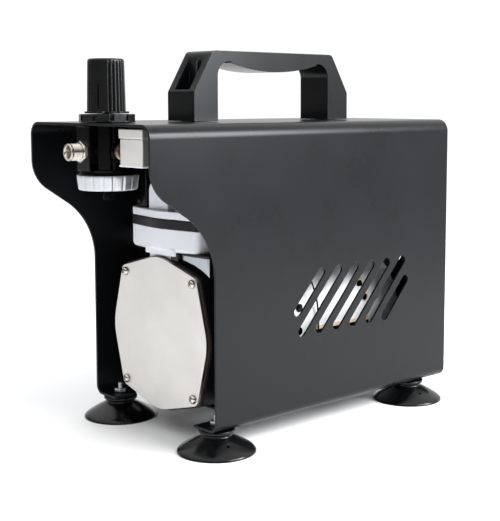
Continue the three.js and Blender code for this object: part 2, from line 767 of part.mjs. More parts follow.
function conRod() {
  const low = PUMP.axisZ + PUMP.throw;
  const high = rodSmallZ();
  const [y0, y1] = [PUMP.boreY - 3, PUMP.boreY + 3];
  const bigEnd = turnedY(rod(9.2, y0, y1), 0, low, 22);
  const smallEnd = turnedY(rod(5, y0, y1), 0, high, 18);
  const shank = box(-3.4, y0 + 0.6, low + 4, 3.4, y1 - 0.6, high - 3);
  const bigBore = turnedY(rod(PUMP.crankPinRadius + GAP, y0 - 2, y1 + 2), 0, low, 16);
  const smallBore = turnedY(rod(2.8, y0 - 2, y1 + 2), 0, high, 12);
  return cut(join(bigEnd, smallEnd, shank), bigBore, smallBore);
}

function wristPin() {
  return turnedY(rod(2.5, PUMP.boreY - 7.2, PUMP.boreY + 7.2), 0, rodSmallZ(), 12);
}

function piston() {
  const crown = 126;
  const outer = turned([[0, 106], [12.1, 106], [12.1, 118.5], [11, 118.5], [11, 121.5], [12.1, 121.5],
      [12.1, crown], [0, crown]], 24);
  const inside = turned(rod(10.7, 104, 123), 20);
  return cut(outer, inside).translate([0, PUMP.boreY, 0]);
}

function pistonSeal() {
  return turnedZ(tube(11.1, 12.2, 118.8, 121.2), 0, PUMP.boreY, 24);
}

function intakeSilencer() {
  const outline = filleted([[-35.2, -70, 4], [-17.8, -70, 1.5], [-17.8, -48, 3], [-35.2, -48, 4]], 3);
  const block = prismZ(outline, 138.9, 168);
  const snout = turnedZ(rod(6, 167, 174), -26.6, -59, 16);
  const vent = turnedZ(rod(3.6, 150, 178), -26.6, -59, 12);
  const button = turnedY([[0, -71.6], [1.2, -71.4], [1.8, -70.6], [1.8, -69], [0, -69]], -25, 142.7, 12);
  return cut(join(block, snout, button), vent);
}

function airHose() {
  const portZ = REG.portZ - 3.5;
  const { portX, portY } = HEAD;
  const route = [[portX, portY, 166.3], [portX, portY - 0.4, 171], [portX, -59, 177], [-3.4, -66, 179],
      [-2, -74, 178], [-0.8, -82, 174.5],
    [0, -89, portZ + 0.4], [0, REG.y + 15.4, portZ]];
  return pipe(route, 3, 16, 10);
}

// ---------------------------------------------------------------- motor

function motorCasing() {
  const { front, rear, radius, wall } = MOTOR;
  return turnedY(tube(radius - wall, radius, front, rear), 0, PUMP.axisZ, 36);
}

function stator() {
  const outer = MOTOR.radius - MOTOR.wall - GAP;
  const core = turnedY(tube(MOTOR.rotorRadius + 0.6, outer, 4, 62), 0, PUMP.axisZ, 28);
  const slots = [];
  for (let i = 0; i < 6; i += 1) {
    const groove = box(MOTOR.rotorRadius - 2, 2, -1.6, MOTOR.rotorRadius + 5.6, 64, 1.6);
    slots.push(groove.rotate([0, 60 * i, 0]).translate([0, 0, PUMP.axisZ]));
  }
  return cut(core, ...slots);
}

function winding() {
  const coil = (y0, y1) => turnedY(tube(25, 34, y0, y1), 0, 0, 24);
  const bars = [];
  for (let i = 0; i < 6; i += 1) {
    bars.push(box(MOTOR.rotorRadius + 1.8, 0, -1.2, MOTOR.rotorRadius + 5, 66, 1.2).rotate([0, 60 * i, 0]));
  }
  return join(coil(-8, 3.6), coil(62.4, 74), ...bars).translate([0, 0, PUMP.axisZ]);
}

function rotor() {
  return turnedY(tube(PUMP.shaftRadius + 0.1, MOTOR.rotorRadius, 3, 63), 0, PUMP.axisZ, 28);
}

function endBellFront() {
  const { front, radius } = MOTOR;
  const near = PUMP.back + GAP;
  const bore = PUMP.shaftRadius + GAP;
  const profile = [[bore, near], [18, near], [18, front - 6], [radius, front - 6], [radius, front - GAP],
      [bore, front - GAP],
    [bore, near]];
  return turnedY(profile, 0, PUMP.axisZ, 32);
}

function endBellRear() {
  const { rear, radius } = MOTOR;
  const plate = turnedY(tube(PUMP.shaftRadius + GAP, radius, rear + GAP, rear + 5.8), 0, PUMP.axisZ, 32);
  const windows = [];
  for (let i = 0; i < 6; i += 1) {
    const hole = turnedY(rod(6, rear - 2, rear + 8), 26, 0, 8);
    windows.push(hole.rotate([0, 60 * i, 0]).translate([0, 0, PUMP.axisZ]));
  }
  return cut(plate, ...windows);
}

function fan() {
  const y0 = MOTOR.rear + 7.5;
  const hub = turnedY(tube(PUMP.shaftRadius + 0.1, 9, y0, y0 + 8), 0, 0, 20);
  const blades = [];
  for (let i = 0; i < 7; i += 1) {
    const blade = box(7.5, -0.6, -4.5, 29, 0.6, 4.5).rotate([38, 0, 0]).translate([0, y0 + 4, 0]);
    blades.push(blade.rotate([0, (360 / 7) * i, 0]));
  }
  return join(hub, ...blades).translate([0, 0, PUMP.axisZ]);
}

function mountFrame() {
  const low = CASE.bottom + CASE.sheet + GAP;
  const plate = prismZ(rectangle(-56, -52, 56, 56, 4, 3), low, low + 1.5);
  const window = prismZ(rectangle(-38, -34, 38, 38, 6, 3), low - 2, low + 4);
  return cut(plate, window);
}

function mountLow() {
  return CASE.bottom + 2 * (CASE.sheet + GAP);
}

function frontMount() {
  const outline = filleted([[-40, mountLow(), 1], [40, mountLow(), 1], [40, 23.6, 1], [-40, 23.6, 1]], 2);
  return prismY(outline, -50, -38);
}

function rearMount() {
  const outline = filleted([[-38, mountLow(), 1], [38, mountLow(), 1], [38, 44, 2], [34, 48, 2], [-34, 48,
      2], [-38, 44, 2]], 2);
  const seat = turnedY(rod(MOTOR.radius + GAP, 38, 58), 0, PUMP.axisZ, 40);
  return cut(prismY(outline, 42, 54), seat);
}

// ---------------------------------------------------------------- electrics

function switchFrame() {
  const { y, sheet, switchX: x, switchZ: z } = REAR;
  const outer = y + sheet;
  const bezel = prismY(rectangle(x - 9, z - 12.5, x + 9, z + 12.5, 1.5, 2), outer + GAP, outer + 2);
  const bodyBox = box(x - 6.6, y - 10, z - 10.1, x + 6.6, outer + 1, z + 10.1);
  const well = box(x - 5.2, y - 7, z - 9, x + 5.2, outer + 5, z + 9);
  return cut(join(bezel, bodyBox), well);
}

function switchRocker() {
  const { switchX: x, switchZ: z } = REAR;
  const y = REAR.y;
  const profile = [[-5, -3], [-5, 3], [1.5, 7.4], [4.4, 7.6], [3.2, 0], [6.8, -7], [1.5, -7.4]];
  const outline = orient(profile.map(([a, b]) => new THREE.Vector2(y + a, z + b)));
  return prismX(outline, x - 4.8, x + 4.8);
}

function cordGland() {
  const { y, sheet, glandX: x, glandZ: z, glandEnd: end } = REAR;
  const outer = y + sheet + GAP;
  const body = turnedY([[3.4, y - 6.5], [5.9, y - 6.5], [5.9, outer], [9.6, outer], [9.6, outer + 2], [8,
      outer + 2.4], [8, end - 6],
    [6.6, end - 2], [5, end], [3.4, end], [3.4, y - 6.5]], x, z, 18);
  const hexRing = prismY(ring(9.8, 6, 15), outer + 2.2, outer + 8).translate([x, 0, z]);
  const bore = turnedY(rod(4.5, y - 10, end + 2), x, z, 10);
  return join(body, cut(hexRing, bore));
}

function motorLead() {
  const { switchX: x, switchZ: z, y } = REAR;
  const start = y - 10 - GAP;
  return pipe([[x, start, z + 4], [x, start - 6, z + 3], [x - 1, start - 18, z - 10], [x - 6, start - 30,
      z - 30], [x - 12, start - 36, 104],
    [x - 14, start - 37, 99.2]], 1.6, 16, 8);
}

function inletLead() {
  const { switchX, switchZ, glandX, glandZ, y } = REAR;
  const start = y - 6.5 - GAP;
  return pipe([[glandX, start, glandZ], [glandX, start - 3, glandZ + 1], [glandX - 5, start - 4,
      glandZ + 12], [glandX - 7, start - 3, 100],
    [glandX + 6, start - 4, 138], [0, start - 5, 146], [switchX - 10, start - 8, 146], [switchX - 3,
        start - 8, 145.5],
    [switchX, start - 5.4, 145], [switchX, y - 10 - GAP, 145]], 1.6, 24, 6);
}

// ---------------------------------------------------------------- assembly

addPart('shell', shell(), BLACK_PAINT);
addPart('rear_panel', rearPanel(), BLACK_PAINT);
addPart('handle', handle(), BLACK_PLASTIC);
handleScrewYs().forEach((y, i) => addPart(`handle_screw_${i + 1}`, handleScrew(y), STEEL));
footPlaces().forEach(([x, y], i) => addPart(`suction_foot_${i + 1}`, suctionFoot(x, y), BLACK_RUBBER));
footPlaces().forEach(([x, y], i) => addPart(`foot_stud_${i + 1}`, footStud(x, y), STEEL));

addPart('regulator_body', regulatorBody(), GLOSS_BLACK);
addPart('outlet_nipple', outletNipple(), BRIGHT_NICKEL);
addPart('union_flange', unionFlange(), BRIGHT_NICKEL);
addPart('pressure_switch_body', pressureSwitchBody(), SATIN_NICKEL);
addPart('pressure_switch_cap', pressureSwitchCap(), SATIN_NICKEL);
addPart('panel_nut', panelNut(), BLACK_PLASTIC);
addPart('adjusting_screw', adjustingScrew(), STEEL);
addPart('knob', knob(), BLACK_PLASTIC);
addPart('spring_follower', springFollower(), BRASS);
addPart('regulator_spring', regulatorSpring(), STEEL);
addPart('diaphragm', diaphragm(), BLACK_RUBBER);
addPart('trap_bowl', trapBowl(), SILVER);
addPart('filter_element', filterElement(), BRONZE);
addPart('drain_valve', drainValve(), GLOSS_BLACK);

addPart('cylinder_head', cylinderHead(), WHITE_PAINT);
addPart('valve_plate', valvePlate(), BLACK_CASTING);
addPart('cylinder', cylinder(), WHITE_PAINT);
addPart('crankcase', crankcase(), BLACK_CASTING);
addPart('cover_gasket', coverGasket(), GASKET_BROWN);
addPart('cover_plate', coverPlate(), SATIN_NICKEL);
coverScrewPlaces().forEach(([x, z], i) => addPart(`cover_screw_${i + 1}`, coverScrew(x, z), BRIGHT_NICKEL));
addPart('main_bearing', mainBearing(), STEEL);
addPart('crankshaft', crankshaft(), STEEL);
addPart('con_rod', conRod(), SILVER);
addPart('wrist_pin', wristPin(), STEEL);
addPart('piston', piston(), SILVER);
addPart('piston_seal', pistonSeal(), BLACK_RUBBER);
addPart('intake_silencer', intakeSilencer(), GLOSS_BLACK);
addPart('air_hose', airHose(), TUBE_BLUE);

addPart('motor_casing', motorCasing(), SILVER);
addPart('stator', stator(), STEEL);
addPart('winding', winding(), COPPER);
addPart('rotor', rotor(), STEEL);
addPart('end_bell_front', endBellFront(), SILVER);
addPart('end_bell_rear', endBellRear(), SILVER);
addPart('fan', fan(), BLACK_PLASTIC);
addPart('mount_frame', mountFrame(), BLACK_PAINT);
addPart('front_mount', frontMount(), BLACK_RUBBER);
addPart('rear_mount', rearMount(), BLACK_RUBBER);

addPart('switch_frame', switchFrame(), BLACK_PLASTIC);
addPart('switch_rocker', switchRocker(), GLOSS_BLACK);
addPart('cord_gland', cordGland(), BLACK_PLASTIC);
addPart('motor_lead', motorLead(), BLACK_RUBBER);
addPart('inlet_lead', inletLead(), BLACK_RUBBER);

export default group;
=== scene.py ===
"""Looks of the airbrush compressor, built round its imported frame. Shapes are in millimetres, +Z up."""
import json
import math

import bmesh
import bpy
from mathutils import Matrix, Vector

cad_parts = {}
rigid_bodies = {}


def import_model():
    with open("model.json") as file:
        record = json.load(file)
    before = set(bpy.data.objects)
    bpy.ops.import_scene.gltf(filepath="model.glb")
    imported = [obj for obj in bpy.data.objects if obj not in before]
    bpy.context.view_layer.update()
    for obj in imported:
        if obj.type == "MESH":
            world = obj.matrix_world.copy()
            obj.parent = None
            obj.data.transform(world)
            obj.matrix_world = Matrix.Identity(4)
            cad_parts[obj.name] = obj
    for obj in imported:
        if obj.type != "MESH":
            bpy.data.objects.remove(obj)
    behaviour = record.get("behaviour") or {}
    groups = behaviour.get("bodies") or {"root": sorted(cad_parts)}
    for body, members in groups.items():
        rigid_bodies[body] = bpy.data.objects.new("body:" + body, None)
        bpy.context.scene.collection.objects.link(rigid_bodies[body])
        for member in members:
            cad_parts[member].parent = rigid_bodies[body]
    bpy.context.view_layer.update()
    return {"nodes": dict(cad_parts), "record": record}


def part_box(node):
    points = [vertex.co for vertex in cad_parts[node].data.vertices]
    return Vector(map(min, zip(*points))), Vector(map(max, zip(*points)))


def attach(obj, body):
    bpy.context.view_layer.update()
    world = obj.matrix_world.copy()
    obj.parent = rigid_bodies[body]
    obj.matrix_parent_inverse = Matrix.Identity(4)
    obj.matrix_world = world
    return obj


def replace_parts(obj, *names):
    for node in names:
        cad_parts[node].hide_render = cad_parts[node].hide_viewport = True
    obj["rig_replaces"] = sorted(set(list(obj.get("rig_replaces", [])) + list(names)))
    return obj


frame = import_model()
MM = 0.001
TAU = 2 * math.pi


def span(node):
    """Lowest and highest corner of a CAD node, in millimetres."""
    low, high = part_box(node)
    return low / MM, high / MM


def centre(node):
    low, high = span(node)
    return (low + high) / 2


# ---------------------------------------------------------------- materials


def node(tree, kind, inputs=None, **settings):
    made = tree.nodes.new(kind)
    for name, value in settings.items():
        setattr(made, name, value)
    for name, value in (inputs or {}).items():
        made.inputs[name].default_value = value
    return made


def noise(tree, place, scale, detail=3.0):
    settings = {"Scale": scale, "Detail": detail, "Roughness": 0.55}
    made = node(tree, "ShaderNodeTexNoise", settings)
    tree.links.new(place, made.inputs["Vector"])
    return made.outputs["Fac"]


def ranged(tree, value, low, high, start=0.3, end=0.7):
    """A value between start and end, stretched to run from low to high."""
    settings = {"From Min": start, "From Max": end, "To Min": low, "To Max": high}
    made = node(tree, "ShaderNodeMapRange", settings)
    tree.links.new(value, made.inputs["Value"])
    return made.outputs["Result"]


def lit_and_worn_edges(tree, tint, wear_and_highlight):
    """The tint, mixed with a lighter colour where a slightly rounded normal leaves the true one: edge wear,
    and a painted highlight along the edges.
    """
    rounded_normal = node(tree, "ShaderNodeBevel", {"Radius": 0.5 * MM}, samples=4)
    true_normal = node(tree, "ShaderNodeNewGeometry").outputs["Normal"]
    facing = node(tree, "ShaderNodeVectorMath", operation="DOT_PRODUCT")
    tree.links.new(rounded_normal.outputs["Normal"], facing.inputs[0])
    tree.links.new(true_normal, facing.inputs[1])
    edge = ranged(tree, facing.outputs["Value"], 0.55, 0.0, 0.80, 0.99)
    lit_and_rubbed = node(tree, "ShaderNodeMix", data_type="RGBA")
    lit_and_rubbed.inputs[7].default_value = (*wear_and_highlight, 1)
    tree.links.new(edge, lit_and_rubbed.inputs[0])
    tree.links.new(tint, lit_and_rubbed.inputs[6])
    return lit_and_rubbed.outputs[2]


def surface(name, colour, rough, metal=0.0, coat=0.0, uneven=0.08, grain=900.0, bump=0.02,
            stretch=(1, 1, 1), wear_and_highlight=None, specular=0.5):
    """A finish whose colour, gloss and height vary a little. Where an edge colour is given, its edges are
    lighter: partly wear, partly a painted highlight.
    The bump is in millimetres, and the grain is how many times its noise repeats in a metre."""
    broad_grain, coat_rough = 28.0, 0.08
    material = bpy.data.materials.new(name)
    material.use_nodes = True
    tree = material.node_tree
    shader = tree.nodes["Principled BSDF"]
    shader.inputs["Metallic"].default_value = metal
    shader.inputs["Coat Weight"].default_value = coat
    shader.inputs["Coat Roughness"].default_value = coat_rough
    shader.inputs["Specular IOR Level"].default_value = specular
    where = node(tree, "ShaderNodeTexCoord").outputs["Object"]
    mapping = node(tree, "ShaderNodeMapping", {"Scale": stretch})
    tree.links.new(where, mapping.inputs["Vector"])
    fine = noise(tree, mapping.outputs["Vector"], grain)
    broad = noise(tree, where, broad_grain, 4.0)
    shade = node(tree, "ShaderNodeMix", data_type="RGBA")
    darker = [c * (1 - uneven) for c in colour]
    lighter = [min(1.0, c * (1 + uneven)) for c in colour]
    shade.inputs[6].default_value = (*darker, 1)
    shade.inputs[7].default_value = (*lighter, 1)
    tree.links.new(ranged(tree, broad, 0.0, 1.0), shade.inputs[0])
    tint = shade.outputs[2]
    if wear_and_highlight:
        tint = lit_and_worn_edges(tree, tint, wear_and_highlight)
    tree.links.new(tint, shader.inputs["Base Color"])
    gloss = node(tree, "ShaderNodeMath", operation="ADD")
    tree.links.new(ranged(tree, broad, rough * 0.92, rough * 1.08), gloss.inputs[0])
    tree.links.new(ranged(tree, fine, -0.03 * rough, 0.03 * rough), gloss.inputs[1])
    tree.links.new(gloss.outputs["Value"], shader.inputs["Roughness"])
    relief = node(tree, "ShaderNodeBump", {"Strength": 0.6, "Distance": bump * MM})
    tree.links.new(fine, relief.inputs["Height"])
    tree.links.new(relief.outputs["Normal"], shader.inputs["Normal"])
    return material


# The lighter edge colours below are partly wear and partly a painted highlight; on black_paint and
# black_plastic they paint the thin lit edges of the slots and the handle.
FINISHES = {
    "black_paint": dict(colour=(0.0046, 0.0050, 0.0060), rough=0.29, bump=0.005, grain=1500, specular=0.19,
                        wear_and_highlight=(0.030, 0.031, 0.034)),
    "black_plastic": dict(colour=(0.0042, 0.0050, 0.0060), rough=0.26, bump=0.003, grain=900, specular=0.26,
                          wear_and_highlight=(0.15, 0.16, 0.17)),
    "gloss_black": dict(colour=(0.001, 0.001, 0.0012), rough=0.12, bump=0.003, grain=500, specular=0.12),
    "black_casting": dict(colour=(0.006, 0.006, 0.008), rough=0.36, bump=0.02, grain=1300, specular=0.22,
                          wear_and_highlight=(0.02, 0.02, 0.024)),
    "black_rubber": dict(colour=(0.0016, 0.0018, 0.0022), rough=0.20, bump=0.006, grain=700, specular=0.28),
    "satin_nickel": dict(colour=(0.66, 0.645, 0.62), rough=0.36, metal=1.0, bump=0.006, grain=500),
    "bright_nickel": dict(colour=(0.58, 0.54, 0.49), rough=0.13, metal=1.0, bump=0.006, grain=900),
    "silver": dict(colour=(0.70, 0.715, 0.735), rough=0.34, metal=0.8, bump=0.008, grain=800),
    "white_paint": dict(colour=(0.82, 0.845, 0.89), rough=0.42, bump=0.012, grain=1100, uneven=0.02,
                        specular=0.35),
    "gasket": dict(colour=(0.045, 0.028, 0.018), rough=0.8, bump=0.05, grain=1600, uneven=0.25),
    "steel": dict(colour=(0.50, 0.51, 0.52), rough=0.28, metal=1.0, bump=0.01, grain=900,
                  stretch=(1, 1, 0.1)),
    "brass": dict(colour=(0.66, 0.47, 0.20), rough=0.25, metal=1.0, bump=0.008, grain=900),
    "copper": dict(colour=(0.50, 0.19, 0.08), rough=0.32, metal=1.0, bump=0.25, grain=420,
                   stretch=(1, 0.08, 1), uneven=0.2),
    "bronze": dict(colour=(0.30, 0.24, 0.16), rough=0.6, metal=0.8, bump=0.2, grain=1500, uneven=0.3),
    "hose": dict(colour=(0.020, 0.032, 0.052), rough=0.3, coat=0.2, bump=0.01, grain=900),
}
LOOKS = {name: surface(name, **finish) for name, finish in FINISHES.items()}
MOTOR_TIN = surface("motor_tin", (0.95, 0.955, 0.96), 0.42, 0.1, bump=0.02, grain=600, uneven=0.03)
TAN = surface("press_board", (0.72, 0.58, 0.44), 0.7, bump=0.05, grain=1500, uneven=0.12)
CUP_SILVER = surface("cup_silver", (0.62, 0.64, 0.67), 0.38, 0.75, bump=0.006, grain=700, uneven=0.04)
# A lighter copy of the nickel for the switch box: painted light that makes up for the shade the case's top
# casts on it.
LIT_BOX_NICKEL = surface("box_nickel_lit", (0.86, 0.845, 0.81), 0.40, 0.8, bump=0.006, grain=500, uneven=0.03)
BRACKET = surface("bracket_chrome", (0.42, 0.44, 0.47), 0.26, 1.0, bump=0.006, grain=500)
# The knob's lighter edge colour is partly wear, partly a painted highlight.
KNOB_BLACK = surface("knob_plastic", (0.0028, 0.003, 0.0034), 0.30, bump=0.008, grain=2200, specular=0.30,
                     wear_and_highlight=(0.008, 0.0085, 0.009))
MATT_BLACK = surface("matt_black", (0.0012, 0.0012, 0.0014), 0.6, bump=0.01, grain=900, specular=0.06)
WARM_NICKEL = surface("warm_nickel", (0.46, 0.37, 0.30), 0.30, 1.0, bump=0.006, grain=900)
FLOOR = surface("pale_floor", (0.93, 0.935, 0.945), 0.55, bump=0.01, grain=60, uneven=0.01, specular=0.2)
SLOT_OF = {part["node"]: part["material_slot"] for part in frame["record"]["subparts"]}
BODY_OF = {name: body for body, names in frame["record"]["behaviour"]["bodies"].items() for name in names}

# ---------------------------------------------------------------- outlines


def arc(cx, cy, radius, start, end, steps):
    turns = [math.radians(start + (end - start) * i / steps) for i in range(steps + 1)]
    return [(cx + radius * math.cos(t), cy + radius * math.sin(t)) for t in turns]


def filleted(corners, steps=6):
    """Corners are (x, y, fillet radius), in order round the outline."""
    points = []
    for i, (x, y, radius) in enumerate(corners):
        here = Vector((x, y))
        if not radius:
            points.append((x, y))
            continue
        back = (Vector(corners[i - 1][:2]) - here).normalized()
        ahead = (Vector(corners[(i + 1) % len(corners)][:2]) - here).normalized()
        half = math.acos(max(-1, min(1, back.dot(ahead)))) / 2
        middle = here + (back + ahead).normalized() * radius / math.sin(half)
        start = here + back * radius / math.tan(half) - middle
        end = here + ahead * radius / math.tan(half) - middle
        turn = math.atan2(start.x * end.y - start.y * end.x, start.dot(end))
        for k in range(steps + 1):
            c, s = math.cos(turn * k / steps), math.sin(turn * k / steps)
            points.append((middle.x + c * start.x - s * start.y, middle.y + s * start.x + c * start.y))
    return points


def rectangle(x0, y0, x1, y1, radius=0.0):
    return filleted([(x0, y0, radius), (x1, y0, radius), (x1, y1, radius), (x0, y1, radius)])


def crested_square(half_x, half_y, corner_x, corner_y, radius, crest):
    """A square with round corners, whose straight sides rise to a rounded crest half way along."""
    crest_steps, corner_steps = 24, 8

    def lean(half, along, across):
        rise = along - half + crest
        fall = math.acos((crest - radius) / math.hypot(across, rise))
        return math.degrees(math.atan2(across, rise) - fall)

    ax, ay = lean(half_x, corner_x, corner_y), lean(half_y, corner_y, corner_x)

    def corner(sx, sy, start, end):
        return arc(sx * corner_x, sy * corner_y, radius, start, end, corner_steps)

    return [
        *arc(half_x - crest, 0, crest, -ax, ax, crest_steps), *corner(1, 1, ax, 90 - ay),
        *arc(0, half_y - crest, crest, 90 - ay, 90 + ay, crest_steps), *corner(-1, 1, 90 + ay, 180 - ax),
        *arc(crest - half_x, 0, crest, 180 - ax, 180 + ax, crest_steps), *corner(-1, -1, 180 + ax, 270 - ay),
        *arc(0, crest - half_y, crest, 270 - ay, 270 + ay, crest_steps), *corner(1, -1, 270 + ay, 360 - ax),
    ]


def circle(radius, sides, turn=0.0):
    return arc(0, 0, radius, turn, turn + 360, sides)[:-1]


# ---------------------------------------------------------------- solids as bmesh, in millimetres

ALONG = {
    "X": Matrix(((0, 0, 1), (1, 0, 0), (0, 1, 0))),
    "Y": Matrix(((1, 0, 0), (0, 0, 1), (0, 1, 0))),
    "Z": Matrix.Identity(3),
}


def loft(loops):
    """Rings of equal length, skinned in order and capped at both ends."""
    solid = bmesh.new()
    rings = [[solid.verts.new(p) for p in loop] for loop in loops]
    for low, high in zip(rings, rings[1:]):
        for i in range(len(low)):
            j = (i + 1) % len(low)
            solid.faces.new((low[i], low[j], high[j], high[i]))
    solid.faces.new(rings[0][::-1])
    solid.faces.new(rings[-1])
    bmesh.ops.recalc_face_normals(solid, faces=solid.faces)
    return solid


def prism(outline, low, high, axis="Z"):
    turn = ALONG[axis]
    return loft([[turn @ Vector((a, b, level)) for a, b in outline] for level in (low, high)])


def turned(profile, place=(0, 0, 0), axis="Z", steps=72, shape=None):
    """Profile of (radius, height) turned about an axis; shape(angle, radius, height) may flute it."""
    turn = ALONG[axis]
    centre_at = Vector(place)
    solid = bmesh.new()
    rings = []
    for radius, height in profile:
        if radius < 1e-6:
            rings.append([solid.verts.new(centre_at + turn @ Vector((0, 0, height)))])
            continue
        ring = []
        for i in range(steps):
            angle = TAU * i / steps
            r = shape(angle, radius, height) if shape else radius
            point = Vector((r * math.cos(angle), r * math.sin(angle), height))
            ring.append(solid.verts.new(centre_at + turn @ point))
        rings.append(ring)
    closed = profile[0] == profile[-1]
    if closed:
        rings[-1] = rings[0]
    for low, high in zip(rings, rings[1:]):
        for i in range(steps):
            j = (i + 1) % steps
            corners = [low[i % len(low)], low[j % len(low)], high[j % len(high)], high[i % len(high)]]
            unique = list(dict.fromkeys(corners))
            if len(unique) > 2:
                solid.faces.new(unique)
    loose = [v for v in solid.verts if not v.link_faces]
    bmesh.ops.delete(solid, geom=loose, context="VERTS")
    bmesh.ops.recalc_face_normals(solid, faces=solid.faces)
    return solid


def rod(radius, low, high, place=(0, 0, 0), axis="Z", steps=72):
    return turned([(0, low), (radius, low), (radius, high), (0, high)], place, axis, steps)


def sleeve(inner, outer, low, high, place=(0, 0, 0), axis="Z", steps=72):
    profile = [(inner, low), (outer, low), (outer, high), (inner, high), (inner, low)]
    return turned(profile, place, axis, steps)


def block(x0, y0, z0, x1, y1, z1):
    return prism(rectangle(x0, y0, x1, y1), z0, z1)


def tube_along(points, radius, sides, per_span=6):
    """A round tube along a smooth curve through the points."""
    route = []
    ends = [points[0], *points, points[-1]]
    for a, b, c, d in zip(ends, ends[1:], ends[2:], ends[3:]):
        a, b, c, d = (Vector(p) for p in (a, b, c, d))
        for k in range(per_span):
            t = k / per_span
            route.append(0.5 * (2 * b + (c - a) * t + (2 * a - 5 * b + 4 * c - d) * t ** 2
                                + (3 * b - a - 3 * c + d) * t ** 3))
    route.append(Vector(points[-1]))
    side = (route[1] - route[0]).orthogonal().normalized()
    loops = []
    for i, p in enumerate(route):
        ahead = (route[min(i + 1, len(route) - 1)] - route[max(i - 1, 0)]).normalized()
        side = (side - ahead * side.dot(ahead)).normalized()
        up = ahead.cross(side)
        loops.append([p + radius * (math.cos(t) * side + math.sin(t) * up)
                      for t in (TAU * k / sides for k in range(sides))])
    return loft(loops)


def gather(*solids):
    """Several solids in one."""
    together = bmesh.new()
    for solid in solids:
        mesh = bpy.data.meshes.new("part")
        solid.to_mesh(mesh)
        solid.free()
        together.from_mesh(mesh)
        bpy.data.meshes.remove(mesh)
    return together


def moved(solid, matrix):
    bmesh.ops.transform(solid, matrix=matrix, verts=solid.verts)
    return solid


def shifted(solid, x=0.0, y=0.0, z=0.0):
    return moved(solid, Matrix.Translation((x, y, z)))


def spun(solid, degrees, axis="Z"):
    return moved(solid, Matrix.Rotation(math.radians(degrees), 4, axis))


# ---------------------------------------------------------------- pieces


def settle(obj):
    """Replaces an object's mesh by what its modifiers make of it."""
    bpy.context.view_layer.update()
    graph = bpy.context.evaluated_depsgraph_get()
    mesh = bpy.data.meshes.new_from_object(obj.evaluated_get(graph))
    obj.modifiers.clear()
    obj.data = mesh


def as_object(name, solid, look):
    mesh = bpy.data.meshes.new(name)
    bmesh.ops.transform(solid, matrix=Matrix.Scale(MM, 4), verts=solid.verts)
    solid.to_mesh(mesh)
    solid.free()
    obj = bpy.data.objects.new(name, mesh)
    bpy.context.scene.collection.objects.link(obj)
    mesh.materials.append(look)
    return obj


def carve(obj, tools, operation="DIFFERENCE"):
    """Cuts each tool out of the object, or joins it on, then merges the flat faces left in pieces."""
    for solid in tools:
        tool = as_object("tool", solid, obj.data.materials[0])
        step = obj.modifiers.new("cut", "BOOLEAN")
        step.operation = operation
        step.solver = "EXACT"
        step.object = tool
        settle(obj)
        bpy.data.objects.remove(tool)
    tidy = bmesh.new()
    tidy.from_mesh(obj.data)
    bmesh.ops.remove_doubles(tidy, verts=tidy.verts, dist=1e-6)
    bmesh.ops.dissolve_limit(tidy, angle_limit=math.radians(0.5), verts=tidy.verts, edges=tidy.edges)
    tidy.to_mesh(obj.data)
    tidy.free()


def soften(obj, width, segments=3, angle=32, smooth=42):
    """Rounds edges sharper than angle, and shades the faces smoothly across edges blunter than smooth."""
    if width:
        step = obj.modifiers.new("edges", "BEVEL")
        step.width = width * MM
        step.segments = segments
        step.limit_method = "ANGLE"
        step.angle_limit = math.radians(angle)
        step.use_clamp_overlap = True
        step.miter_outer = "MITER_ARC"
    for face in obj.data.polygons:
        face.use_smooth = True
    obj.data.set_sharp_from_angle(angle=math.radians(smooth))
    normals = obj.modifiers.new("normals", "WEIGHTED_NORMAL")
    normals.keep_sharp = True
    normals.weight = 60


def piece(name, solid, stands_for, width=0.3, look=None, cuts=(), joins=(), smooth=42):
    """A shown piece that stands for a CAD node, with that node's body and slot."""
    obj = as_object(name, solid, look or LOOKS[SLOT_OF[stands_for]])
    if joins:
        carve(obj, joins, "UNION")
    if cuts:
        carve(obj, cuts)
    soften(obj, width, smooth=smooth)
    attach(obj, BODY_OF[stands_for])
    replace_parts(obj, stands_for)


def detail(name, solid, look, width=0.15, slot=None, body="case", cuts=()):
    """A small part without a CAD node of its own. Its look is the name of a slot, or a material."""
    if isinstance(look, str):
        slot, look = look, LOOKS[look]
    obj = as_object(name, solid, look)
    if cuts:
        carve(obj, cuts)
    soften(obj, width)
    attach(obj, body)


# ---------------------------------------------------------------- case

SHEET = 1.5  # thickness of the bent steel
GAP = 0.3  # clearance between pieces that touch
TAB_Z = 14  # underside of the tabs over the feet
PANEL_HOLE = 12.1  # radius of the regulator's hole in the top


def wrap_outline(low, high, tab_edge):
    """The bent sheet's cross-section: outside path, then the inside path back."""
    half, bend, foot_bend = high.x, 8.0, 6.0

    def path(inset):
        x, z = half - foot_bend, low.z + foot_bend
        tx, tz = half - bend, high.z - bend
        return [
            (-tab_edge, low.z + inset), *arc(-x, z, foot_bend - inset, 270, 180, 12),
            *arc(-tx, tz, bend - inset, 180, 90, 18), *arc(tx, tz, bend - inset, 90, 0, 18),
            *arc(x, z, foot_bend - inset, 0, -90, 12), (tab_edge, low.z + inset),
        ]

    return path(0) + path(SHEET)[::-1]


def front_cut(low, high, lower):
    """What the S-curve cuts off the front: a round nose above, a hollow below it, then straight down."""
    nose, nose_z, hollow, hollow_z, turn = 22.0, 168.6, 44.0, 103.9, 59.0
    outside = low.y - 20
    side = [
        (outside, 0), (lower, 0), *arc(lower - hollow, hollow_z, hollow, 0, turn, 36),
        *arc(low.y + nose, nose_z, nose, 180 + turn, 180, 24), (outside, nose_z),
    ]
    return prism(side, low.x - 5, high.x + 5, "X")


